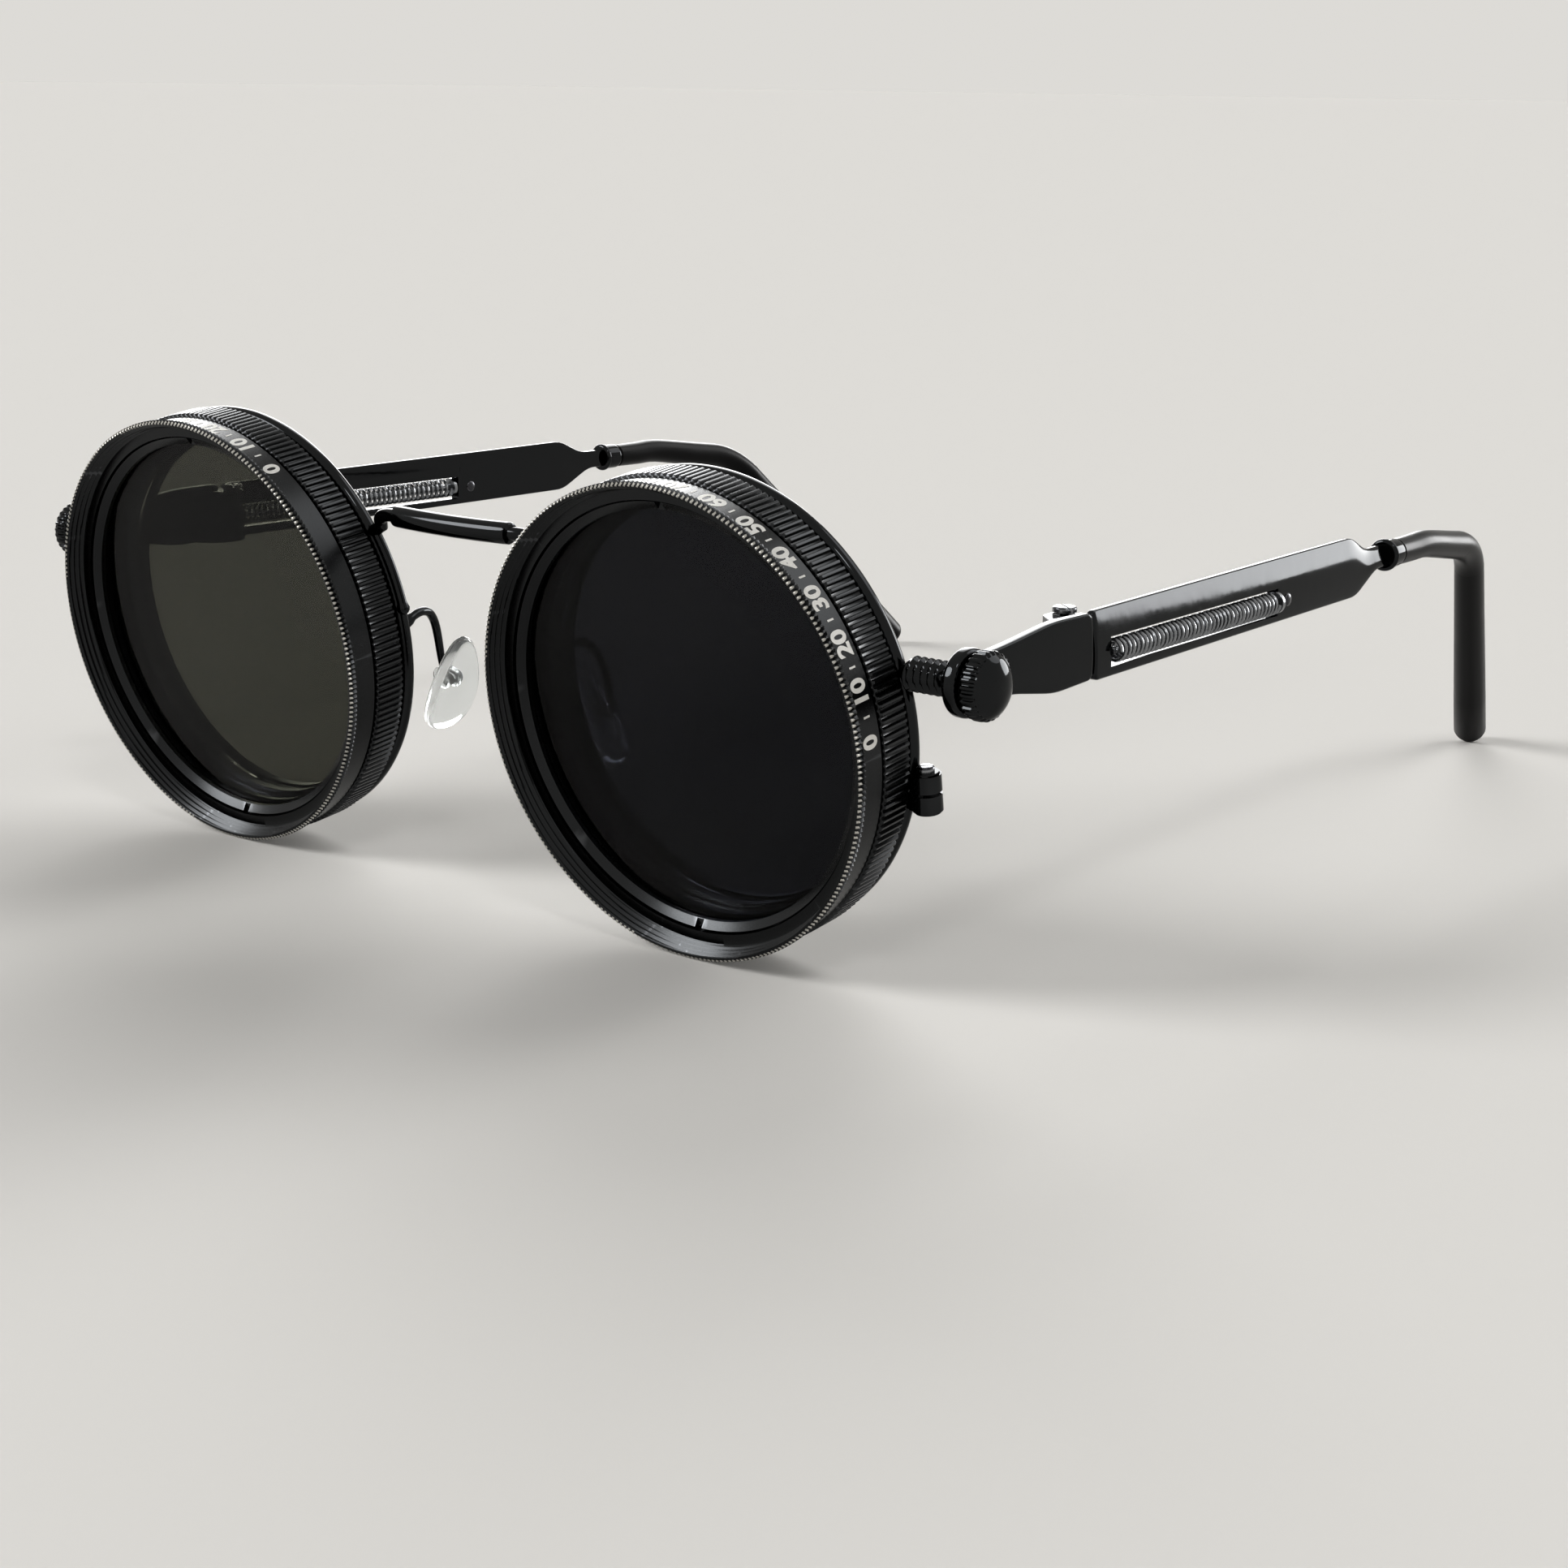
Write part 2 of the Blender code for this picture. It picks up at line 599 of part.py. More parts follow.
def build_rear_retainer(label, lens, finishes):
    back = REAR_RETAINER_FACE + REAR_RETAINER_THICKNESS
    profile = [
        (REAR_GLASS_RADIUS, back),
        (REAR_GLASS_RADIUS, REAR_RETAINER_FACE),
        (REAR_RETAINER_INNER_RADIUS, REAR_RETAINER_FACE),
        (REAR_RETAINER_INNER_RADIUS, back),
    ]
    name = label + "rear_retainer"
    turned(name, profile, lens, (0, 0, 0), lens_rotation(), finishes["anodised"])


def build_eyewire(label, side, lens, finishes):
    bore = SPIGOT_RADIUS + FIT_GAP
    profile = [
        (EYEWIRE_RADIUS - EYEWIRE_EDGE, EYEWIRE_BACK),
        (EYEWIRE_RADIUS, EYEWIRE_BACK - EYEWIRE_EDGE),
        (EYEWIRE_RADIUS, EYEWIRE_FRONT + EYEWIRE_EDGE),
        (EYEWIRE_RADIUS - EYEWIRE_EDGE, EYEWIRE_FRONT),
        (bore, EYEWIRE_FRONT),
        (bore, EYEWIRE_BACK),
    ]
    name = label + "eyewire"
    ring = turned(name, profile, lens, (0, 0, 0), lens_rotation(), finishes["plated"])
    rim = math.sqrt(EYEWIRE_RADIUS**2 - BLOCK_DROP**2)
    barrel_out = rim + BLOCK_REACH
    upright = (0.0, 0.0, 0.0)
    centre = (side * barrel_out, EYEWIRE_MIDDLE, -BLOCK_DROP)
    half = EYEWIRE_WIDTH / 2 - BLOCK_WEB_STEP
    outline = arc((0.0, 0.0), BLOCK_BARREL_RADIUS, -BLOCK_WEB_ANGLE, BLOCK_WEB_ANGLE, SMALL_STEPS)
    root = -BLOCK_REACH - BLOCK_BARREL_RADIUS
    outline.append((root, half))
    outline.append((root, -half))
    outline = [(side * u, v) for u, v in outline]
    block = flat_solid(name + "_block", [outline], BLOCK_HEIGHT, lens, centre, upright)
    combine(ring, block, "UNION")
    slit_size = (barrel_out, 2 * BLOCK_BARREL_RADIUS + CUT_OVERRUN, BLOCK_SLIT)
    slit = box(name + "_slit", slit_size, lens, centre, upright)
    slit.location.x = side * (barrel_out + CUT_OVERRUN)
    combine(ring, slit, "DIFFERENCE")
    hole_radius = BLOCK_SCREW_RADIUS + FIT_GAP
    height = BLOCK_HEIGHT + CUT_OVERRUN
    hole = cylinder(name + "_hole", hole_radius, height, lens, centre, upright)
    combine(ring, hole, "DIFFERENCE")
    top = Vector(centre) + Vector((0.0, 0.0, BLOCK_HEIGHT / 2 + FIT_GAP))
    screw = label + "closing_screw"
    length = BLOCK_HEIGHT
    slotted_screw(screw, BLOCK_SCREW_RADIUS, length, lens, top, upright, finishes["screw"])


def build_bridge(front, finishes):
    """One bar that bows forward, with thin necks that turn down into the eyewires."""
    foot_turn = math.radians(BRIDGE_FOOT_ANGLE)
    outward = Vector((math.cos(foot_turn), 0.0, math.sin(foot_turn)))
    rim = Vector((HALF_SPACING, EYEWIRE_MIDDLE, 0.0))
    foot = rim + outward * (EYEWIRE_RADIUS + FIT_GAP)
    knee = rim + outward * (EYEWIRE_RADIUS + FIT_GAP + BRIDGE_FOOT_RUN)
    bar_end = Vector((BRIDGE_HALF_BAR, BRIDGE_DEPTH, BRIDGE_HEIGHT))
    half = [Vector((0.0, BRIDGE_DEPTH - BRIDGE_BOW, BRIDGE_HEIGHT))]
    half.append(Vector((BRIDGE_HALF_BAR / 2, BRIDGE_DEPTH - BRIDGE_BOW / 2, BRIDGE_HEIGHT)))
    half.append(bar_end)
    half.append(bar_end + Vector((BRIDGE_NECK_STEP, 0.0, 0.0)))
    shares = [1.0, 1.0, 1.0, BRIDGE_NECK_RADIUS / BRIDGE_RADIUS]
    turn_in = Vector((knee.x, (bar_end.y + knee.y) / 2, BRIDGE_HEIGHT))
    start = half[-1]
    for step in range(1, CORNER_STEPS + 2):
        t = step / (CORNER_STEPS + 1)
        half.append(start.lerp(turn_in, t).lerp(turn_in.lerp(knee, t), t))
        shares.append(shares[-1])
    half.append(foot)
    shares.append(shares[-1])
    mirrored = [Vector((-p.x, p.y, p.z)) for p in reversed(half[1:])]
    points = mirrored + half
    radii = list(reversed(shares[1:])) + shares
    place = ((0.0, 0.0, 0.0), (0.0, 0.0, 0.0))
    tube("bridge", points, BRIDGE_RADIUS, front, *place, finishes["plated"], radii, 2)


def build_stud(label, side, lens, finishes):
    start = math.sqrt(EYEWIRE_RADIUS**2 - STUD_HEIGHT**2) - STUD_RADIUS
    end = EYE_FACE + EYE_THICKNESS + FIT_GAP + STUD_BITE - HALF_SPACING
    middle = (side * (start + end) / 2, EYEWIRE_MIDDLE, STUD_HEIGHT)
    name = label + "side_stud"
    turn = side_rotation(side)
    stud = cylinder(name, STUD_RADIUS, end - start, lens, middle, turn, finishes["plated"])
    radius = GRIP_RADIUS + FIT_GAP
    depth = 2 * SPIGOT_END
    centre = (0.0, EYEWIRE_MIDDLE, 0.0)
    across = lens_rotation()
    saddle = cylinder(name + "_saddle", radius, depth, lens, centre, across, None, RING_STEPS)
    combine(stud, saddle, "DIFFERENCE")


def build_nut(label, side, lens, finishes):
    """A domed thumb nut with a straight knurl, bored blind for the stud."""
    core = NUT_RADIUS - NUT_TOOTH_DEPTH
    bore = STUD_RADIUS + FIT_GAP
    bore_end = STUD_BITE + FIT_GAP
    dome = [(0.0, NUT_BAND + NUT_DOME)]
    for step in range(1, CORNER_STEPS + 2):
        turn = math.pi / 2 * (1 - step / (CORNER_STEPS + 1))
        dome.append((core * math.cos(turn), NUT_BAND + NUT_DOME * math.sin(turn)))
    profile = dome + [
        (NUT_GROOVE_RADIUS, NUT_BAND),
        (NUT_GROOVE_RADIUS, NUT_BAND - NUT_GROOVE_WIDTH),
        (core, NUT_BAND - NUT_GROOVE_WIDTH),
        (core, 0.0),
        (bore, 0.0),
        (bore, bore_end),
        (0.0, bore_end),
    ]
    place = Vector((side * (NUT_FACE - HALF_SPACING), EYEWIRE_MIDDLE, STUD_HEIGHT))
    turn = side_rotation(side)
    name = label + "dome_nut"
    nut = turned(name, profile, lens, place, turn, finishes["plated"], BOSS_STEPS, False)
    inner = arc((0.0, 0.0), (core + bore) / 2, 0.0, 360.0 - 360.0 / BOSS_STEPS, BOSS_STEPS - 1)
    outlines = [star(NUT_RADIUS, NUT_TOOTH_DEPTH / 2, NUT_TEETH), inner]
    depth = NUT_BAND - NUT_GROOVE_WIDTH - GRIP_LAND
    middle = place + Vector((side * (depth + GRIP_LAND) / 2, 0.0, 0.0))
    grip = flat_solid(name + "_grip", outlines, depth - GRIP_LAND, lens, middle, turn)
    combine(nut, grip, "UNION")


def leaf_outline(side, reach):
    """The top view of a hinge knuckle and the leaf that joins it to its plate."""
    way = -1.0 if reach < 0 else 1.0
    outline = arc((0.0, 0.0), HINGE_BARREL_RADIUS, 180.0, 360.0, SMALL_STEPS // 2)
    embed = HINGE_OFFSET + PLATE_THICKNESS / 2
    outline.append((embed, HINGE_BUTT_GAP))
    outline.append((embed, abs(reach)))
    outline.append((HINGE_BARREL_RADIUS, abs(reach)))
    outline.append((-HINGE_BARREL_RADIUS, abs(reach) / 2))
    return [(side * u, way * v) for u, v in outline]


def build_end_piece(label, side, hinge, finishes):
    """Plate from the stud's eye to the hinge, laid out from the hinge's middle."""
    middle = side * (HINGE_OFFSET + PLATE_THICKNESS / 2)
    butt = -HINGE_BUTT_GAP / 2
    corners = [
        (-HINGE_BACK, -HINGE_RISE - END_PIECE_FRONT_HALF, 0.0),
        (-HINGE_BACK * WAIST_SHARE, -END_PIECE_WAIST_BOTTOM, END_PIECE_CURVE),
        (-HINGE_BACK * BELLY_SHARE, -END_PIECE_BOTTOM, END_PIECE_CURVE),
        (butt, -END_PIECE_BOTTOM + TEMPLE_CORNER / 2, TEMPLE_CORNER),
        (butt, END_PIECE_TOP, TEMPLE_CORNER),
        (-HINGE_BACK * BELLY_SHARE, END_PIECE_TOP, END_PIECE_CURVE),
        (-HINGE_BACK * WAIST_SHARE, END_PIECE_WAIST_TOP, END_PIECE_CURVE),
        (-HINGE_BACK, END_PIECE_FRONT_HALF - HINGE_RISE, 0.0),
    ]
    name = label + "end_piece"
    turn = upright_plate_rotation()
    place = (middle, 0.0, 0.0)
    outlines = [rounded(corners)]
    finish = finishes["plated"]
    plate = flat_solid(name, outlines, PLATE_THICKNESS, hinge, place, turn, finish)
    soften(plate, PLATE_EDGE)
    eye_centre = (middle, -HINGE_BACK, -HINGE_RISE)
    half = EYE_THICKNESS / 2
    bore = STUD_RADIUS + FIT_GAP
    profile = [
        (EYE_RADIUS - EYE_EDGE, half),
        (EYE_RADIUS, half - EYE_EDGE),
        (EYE_RADIUS, EYE_EDGE - half),
        (EYE_RADIUS - EYE_EDGE, -half),
        (bore + PLATE_EDGE, -half),
        (bore + PLATE_EDGE, half),
    ]
    sideways = side_rotation(side)
    eye = turned(name + "_eye", profile, hinge, eye_centre, sideways, None, BOSS_STEPS)
    combine(plate, eye, "UNION")
    long = EYE_THICKNESS + CUT_OVERRUN
    hole = cylinder(name + "_bore", bore, long, hinge, eye_centre, sideways, None, BOSS_STEPS)
    combine(plate, hole, "DIFFERENCE")
    knuckle = (HINGE_HEIGHT * (1 - HINGE_MIDDLE_SHARE)) / 2 - FIT_GAP
    lift = (HINGE_HEIGHT - knuckle) / 2
    for way in (1, -1):
        spot = (0.0, 0.0, way * lift)
        leaf_name = f"{name}_leaf_{way}"
        outlines = [leaf_outline(side, -HINGE_LEAF)]
        leaf = flat_solid(leaf_name, outlines, knuckle, hinge, spot, (0, 0, 0))
        combine(plate, leaf, "UNION")
    bore_hinge(name, plate, hinge)


def bore_hinge(name, plate, hinge):
    radius = HINGE_SCREW_RADIUS + FIT_GAP
    long = HINGE_HEIGHT + CUT_OVERRUN
    hole = cylinder(name + "_hinge_bore", radius, long, hinge, (0, 0, 0), (0, 0, 0))
    combine(plate, hole, "DIFFERENCE")


def build_temple_plate(label, side, line, finishes):
    """Plate with a long window, whose neck and core wire run back into the tip."""
    middle = side * (HINGE_OFFSET + PLATE_THICKNESS / 2)
    butt = HINGE_BUTT_GAP / 2
    neck_low = TEMPLE_NECK_RISE - TEMPLE_NECK_HALF
    neck_high = TEMPLE_NECK_RISE + TEMPLE_NECK_HALF
    corners = [
        (butt, -TEMPLE_BELOW, TEMPLE_CORNER),
        (TEMPLE_SHOULDER_BOTTOM, TEMPLE_BOTTOM_RISE - TEMPLE_BELOW, TEMPLE_CORNER),
        (TEMPLE_NECK_BOTTOM, neck_low, TEMPLE_CORNER),
        (TEMPLE_NECK_END, neck_low, 0.0),
        (TEMPLE_NECK_END, neck_high, 0.0),
        (TEMPLE_NECK_TOP, neck_high, TEMPLE_CORNER),
        (TEMPLE_SHOULDER_TOP, TEMPLE_SHOULDER_RISE + TEMPLE_ABOVE, TEMPLE_CORNER),
        (butt, TEMPLE_ABOVE, TEMPLE_CORNER),
    ]
    low = -WINDOW_DROP - WINDOW_HEIGHT / 2
    high = -WINDOW_DROP + WINDOW_HEIGHT / 2
    window = [
        (WINDOW_START, low),
        (WINDOW_START, high),
        (WINDOW_END, high),
        (WINDOW_END, low),
    ]
    name = label + "temple_plate"
    turn = upright_plate_rotation()
    place = (middle, 0.0, 0.0)
    outlines = [rounded(corners), window]
    plate = flat_solid(name, outlines, PLATE_THICKNESS, line, place, turn, finishes["plated"])
    soften(plate, PLATE_EDGE)
    leaf_height = HINGE_HEIGHT * HINGE_MIDDLE_SHARE
    outline = leaf_outline(side, WINDOW_START - PLATE_EDGE)
    leaf = flat_solid(name + "_leaf", [outline], leaf_height, line, (0, 0, 0), (0, 0, 0))
    combine(plate, leaf, "UNION")
    reach = TEMPLE_NECK_END + CORE_LENGTH / 2
    core_place = (middle, reach, TEMPLE_NECK_RISE)
    core_long = CORE_LENGTH + CUT_OVERRUN
    core = cylinder(name + "_core", CORE_RADIUS, core_long, line, core_place, lens_rotation())
    combine(plate, core, "UNION")
    pin_place = (middle, WINDOW_END + SPRING_PIN_SETBACK, -WINDOW_DROP)
    radius = SPRING_PIN_RADIUS + FIT_GAP
    long = PLATE_THICKNESS + CUT_OVERRUN
    hole = cylinder(name + "_pin_hole", radius, long, line, pin_place, side_rotation(side))
    combine(plate, hole, "DIFFERENCE")
    bore_hinge(name, plate, line)
    pin_long = PLATE_THICKNESS + 2 * SPRING_PIN_PROUD
    pin = label + "spring_pin"
    turn = side_rotation(side)
    cylinder(pin, SPRING_PIN_RADIUS, pin_long, line, pin_place, turn, finishes["screw"])


def spring_points(length):
    """A coil along +Y whose wire ends run straight along the axis for one diameter."""
    radius = SPRING_RADIUS - SPRING_WIRE_RADIUS
    lead = 2 * SPRING_WIRE_RADIUS
    points = [Vector((radius, 0.0, 0.0))]
    steps = SPRING_TURNS * SPRING_POINTS_PER_TURN
    for step in range(steps + 1):
        turn = math.tau * step / SPRING_POINTS_PER_TURN
        along = lead + (length - 2 * lead) * step / steps
        points.append(Vector((radius * math.cos(turn), along, radius * math.sin(turn))))
    points.append(Vector((radius, length, 0.0)))
    return points


def least_gap(points):
    """The least clear distance between one turn of the wire and the next."""
    near = 2 * LEAST_GAP_LIMIT
    skip = SPRING_POINTS_PER_TURN // 2
    window = 2 * SPRING_POINTS_PER_TURN
    for index, point in enumerate(points):
        for other in points[index + skip : index + window]:
            near = min(near, (point - other).length)
    return near - 2 * SPRING_WIRE_RADIUS


def build_temple_spring(label, side, line, finishes):
    """The coil spring, the rod through it and the seat at the rod's rear end."""
    length = WINDOW_END - WINDOW_START - 2 * FIT_GAP
    middle = side * (HINGE_OFFSET + PLATE_THICKNESS / 2)
    place = (middle, WINDOW_START + FIT_GAP, -WINDOW_DROP)
    coil = length - SPRING_SEAT_THICKNESS - FIT_GAP
    points = spring_points(coil)
    name = label + "temple_spring"
    tube(name, points, SPRING_WIRE_RADIUS, line, place, (0, 0, 0), finishes["steel"])
    profile = [
        (0.0, length),
        (SPRING_SEAT_RADIUS, length),
        (SPRING_SEAT_RADIUS, length - SPRING_SEAT_THICKNESS),
        (SPRING_ROD_RADIUS, length - SPRING_SEAT_THICKNESS),
        (SPRING_ROD_RADIUS, 0.0),
        (0.0, 0.0),
    ]
    rod = label + "spring_rod"
    steel = finishes["steel"]
    turned(rod, profile, line, place, lens_rotation(), steel, SMALL_STEPS, False)
    print(f"{name}: least gap to itself {least_gap(points) / MM:.2f} mm")


def build_tip(label, side, line, finishes):
    """The collar over the neck, and the bent tip that the core wire runs into."""
    middle = side * (HINGE_OFFSET + PLATE_THICKNESS / 2)
    start = TEMPLE_NECK_END - COLLAR_NECK_COVER
    profile = [
        (COLLAR_RADIUS - COLLAR_EDGE, COLLAR_LENGTH),
        (COLLAR_RADIUS, COLLAR_LENGTH - COLLAR_EDGE),
        (COLLAR_RADIUS, COLLAR_EDGE),
        (COLLAR_RADIUS - COLLAR_EDGE, 0.0),
        (COLLAR_BORE, 0.0),
        (COLLAR_BORE, COLLAR_LENGTH),
    ]
    place = (middle, start, TEMPLE_NECK_RISE)
    name = label + "tip_collar"
    turned(name, profile, line, place, lens_rotation(), finishes["plated"], SMALL_STEPS)
    tip_start = Vector((middle, start + COLLAR_LENGTH + FIT_GAP, TEMPLE_NECK_RISE))
    straight = CORE_LENGTH + CUT_OVERRUN
    first = Vector((0.0, straight, 0.0))
    bend = Vector((-side * TIP_STRAIGHT_INWARD, TIP_STRAIGHT, -TIP_STRAIGHT_DROP))
    hook = Vector((-side * TIP_HOOK_INWARD, TIP_HOOK_BACK, -TIP_HOOK_DROP))
    points = [Vector((0.0, 0.0, 0.0)), first, first.lerp(bend, 1 / 2)]
    before = bend - (bend - first).normalized() * TIP_BEND
    after = bend + hook.normalized() * TIP_BEND
    for step in range(TIP_BEND_STEPS + 1):
        t = step / TIP_BEND_STEPS
        points.append(before.lerp(bend, t).lerp(bend.lerp(after, t), t))
    end = bend + hook
    points.append(after.lerp(end, 1 / 2))
    points.append(end - hook.normalized() * TIP_END_RADIUS / 2)
    points.append(end)
    total = end.length
    start_share = TIP_START_RADIUS / TIP_END_RADIUS
    shares = [min(1.0, start_share + (1 - start_share) * p.length / total) for p in points]
    shares[-1] = TIP_ROUND_SHARE
    name = label + "temple_tip"
    wire = tube(name, points, TIP_END_RADIUS, line, tip_start, (0, 0, 0), None, shares, 2)
    tip = curve_to_mesh(wire, finishes["tip"])
    radius = CORE_RADIUS + FIT_GAP
    bore_end = TEMPLE_NECK_END + CORE_LENGTH + CUT_OVERRUN
    bore_middle = (middle, (start + bore_end) / 2, TEMPLE_NECK_RISE)
    long = bore_end - start
    hole = cylinder(name + "_bore", radius, long, line, bore_middle, lens_rotation())
    combine(tip, hole, "DIFFERENCE")


def pad_axes(side):
    """The pad's directions: across its width, along it upwards, and out of its back."""
    lean = math.radians(PAD_LEAN_DEGREES)
    turn = math.radians(PAD_TURN_DEGREES)
    along = Vector((-side * math.sin(lean), 0.0, math.cos(lean)))
    flat = Vector((side * math.cos(lean), 0.0, math.sin(lean)))
    back = flat * math.cos(turn) - Vector((0.0, math.sin(turn), 0.0))
    across = along.cross(back)
    return across, along, back


def build_pad(label, side, front, finishes):
    """A drop-shaped pad with two ears, the arm with its eye, and the screw through them."""
    across, along, back = pad_axes(side)
    frame = Matrix((across, along, back)).transposed()
    turn = frame.to_euler()
    centre = Vector((side * PAD_HALF_SPREAD, PAD_BACK, -PAD_DROP))
    standoff = PAD_THICKNESS / 2 + PAD_PIVOT_STANDOFF
    pivot_place = centre + back * standoff
    pivot = make_empty(label + "pad_pivot", front, pivot_place)
    work = bmesh.new()
    bmesh.ops.create_uvsphere(work, u_segments=PAD_STEPS, v_segments=PAD_STEPS // 2, radius=1.0)
    bmesh.ops.rotate(work, verts=work.verts, matrix=Matrix.Rotation(-math.pi / 2, 3, "X"))
    for vert in work.verts:
        taper = 1.0 - PAD_TAPER_SHARE * vert.co.y
        vert.co.x *= taper * PAD_WIDTH / 2
        vert.co.y *= PAD_LENGTH / 2
        vert.co.z *= PAD_THICKNESS / 2
    name = label + "nose_pad"
    mesh = from_bmesh(name, work)
    pad = add_object(name, mesh, pivot, -back * standoff, turn, finishes["pad"])
    sideways = (frame @ Matrix.Rotation(math.pi / 2, 3, "Y")).to_euler()
    for way in (1, -1):
        spot = across * way * (PAD_EAR_GAP + PAD_EAR_THICKNESS) / 2
        ear_name = f"{name}_ear_{way}"
        ear = cylinder(ear_name, PAD_EAR_RADIUS, PAD_EAR_THICKNESS, pivot, spot, sideways)
        combine(pad, ear, "UNION")
    hole_radius = PAD_SCREW_RADIUS + FIT_GAP
    screw_long = PAD_EAR_GAP + 2 * PAD_EAR_THICKNESS + FIT_GAP
    hole_long = screw_long + CUT_OVERRUN
    hole = cylinder(name + "_hole", hole_radius, hole_long, pivot, (0, 0, 0), sideways)
    combine(pad, hole, "DIFFERENCE")
    foot_turn = math.radians(PAD_ARM_FOOT_ANGLE)
    rim = (EYEWIRE_RADIUS + SPIGOT_RADIUS + FIT_GAP) / 2
    foot_x = side * (HALF_SPACING + rim * math.cos(foot_turn))
    foot = Vector((foot_x, EYEWIRE_BACK + FIT_GAP, rim * math.sin(foot_turn)))
    leave = foot + Vector((0.0, PAD_ARM_LOOP_BACK, PAD_ARM_LOOP_RISE))
    arrive = pivot_place + along * PAD_ARM_LOOP_RISE + back * PAD_ARM_LOOP_RISE
    ends = (foot, leave, arrive, pivot_place)
    points = []
    for step in range(PAD_ARM_STEPS + 1):
        t = step / PAD_ARM_STEPS
        weights = ((1 - t) ** 3, 3 * t * (1 - t) ** 2, 3 * t * t * (1 - t), t**3)
        points.append(sum((p * w for p, w in zip(ends, weights)), Vector((0.0, 0.0, 0.0))))
    shares = [1.0] * (PAD_ARM_STEPS - 1) + [PAD_ARM_NECK_SHARE] * 2
    arm_name = label + "pad_arm"
    wire = tube(arm_name, points, PAD_ARM_RADIUS, front, (0, 0, 0), (0, 0, 0), None, shares)
    arm = curve_to_mesh(wire, finishes["plated"])
    eye_thick = PAD_ARM_EYE_THICKNESS
    eye = cylinder(arm_name + "_eye", PAD_ARM_EYE_RADIUS, eye_thick, front, pivot_place, sideways)
    combine(arm, eye, "UNION")
    long = eye_thick + CUT_OVERRUN
    eye_hole = cylinder(arm_name + "_hole", hole_radius, long, front, pivot_place, sideways)
    combine(arm, eye_hole, "DIFFERENCE")
    screw_turn = (frame @ Matrix.Rotation(-math.pi / 2, 3, "Y")).to_euler()
    head = pivot_place - across * screw_long / 2
    screw = label + "pad_screw"
    slotted_screw(screw, PAD_SCREW_RADIUS, screw_long, front, head, screw_turn, finishes["screw"])


def build_side(label, side, root, front, finishes):
    lens = make_empty(label + "lens", front, (side * HALF_SPACING, 0.0, 0.0))
    turning = make_empty(label + "turning_axis", lens)
    glass = finishes[label + "glass"]
    build_turning_ring(label, turning, finishes)
    name = label + "front_glass"
    build_glass(name, FRONT_GLASS_RADIUS, FRONT_GLASS_THICKNESS, FRONT_GLASS_FACE, turning, glass)
    build_front_retainer(label, turning, finishes)
    build_filter_base(label, lens, finishes)
    name = label + "rear_glass"
    build_glass(name, REAR_GLASS_RADIUS, REAR_GLASS_THICKNESS, REAR_GLASS_FACE, lens, glass)
    build_rear_retainer(label, lens, finishes)
    build_eyewire(label, side, lens, finishes)
    build_stud(label, side, lens, finishes)
    build_nut(label, side, lens, finishes)
    lean = math.radians(LEAN_DEGREES)
    eye = Vector((0.0, EYEWIRE_MIDDLE, STUD_HEIGHT))
    eye.rotate(Matrix.Rotation(lean, 3, "X"))
    hinge_place = (side * HINGE_SIDE, eye.y + HINGE_BACK, eye.z + HINGE_RISE)
    hinge = make_empty(label + "hinge", root, hinge_place)
    build_end_piece(label, side, hinge, finishes)
    head = (0.0, 0.0, HINGE_HEIGHT / 2 + FIT_GAP)
    name = label + "hinge_screw"
    slotted_screw(name, HINGE_SCREW_RADIUS, HINGE_HEIGHT, hinge, head, (0, 0, 0), finishes["screw"])
    temple = make_empty(label + "temple_axis", root, hinge_place)
    inward = (0.0, 0.0, side * math.radians(TEMPLE_INWARD_DEGREES))
    line = make_empty(label + "temple_line", temple, (0.0, 0.0, 0.0), inward)
    build_temple_plate(label, side, line, finishes)
    build_temple_spring(label, side, line, finishes)
    build_tip(label, side, line, finishes)
    build_pad(label, side, front, finishes)


def stand_on_table(root):
    """Moves the glasses so that the middle of their footprint is at the origin."""
    bpy.context.view_layer.update()
    graph = bpy.context.evaluated_depsgraph_get()
    corners = []
    for obj in bpy.data.collections[OBJECT_NAME].objects:
        if obj.type == "EMPTY":
            continue
        evaluated = obj.evaluated_get(graph)
        mesh = evaluated.to_mesh()
        corners.extend(evaluated.matrix_world @ vertex.co for vertex in mesh.vertices)
        evaluated.to_mesh_clear()
    lowest = [min(corner[axis] for corner in corners) for axis in range(3)]
    highest = [max(corner[axis] for corner in corners) for axis in range(3)]
    middle = (lowest[1] + highest[1]) / 2
    root.location = (0.0, -middle, -lowest[2])
    bpy.context.view_layer.update()


def report_places():
    """Prints where each joint's empty ended up, in millimetres."""
    for obj in bpy.data.collections[OBJECT_NAME].objects:
        if obj.type == "EMPTY":
            place = obj.matrix_world.translation / MM
            print(f"{obj.name}: {place.x:.3f} {place.y:.3f} {place.z:.3f}")


def main():
    clear_scene()
    make_collections()
    finishes = make_finishes()
    root = make_empty("glasses", None)
    lean = (math.radians(LEAN_DEGREES), 0.0, 0.0)
    front = make_empty("leaning_front", root, (0.0, 0.0, 0.0), lean)
    build_bridge(front, finishes)
    for label, side in (("left_", 1), ("right_", -1)):
        build_side(label, side, root, front, finishes)
    stand_on_table(root)
    report_places()


main()
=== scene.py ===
"""Steampunk glasses: the fine pieces, finishes and studio that dress the packed model.

Sizes are in metres, in the frame of the packed model. Each turned piece is made about its own
local Z axis, so that its finish can follow the tool marks of the lathe.
"""

import json
import math

import bmesh
import bpy
import numpy as np
from bpy.props import (
    FloatProperty,
    FloatVectorProperty,
    IntProperty,
    PointerProperty,
)
from mathutils import Matrix, Vector


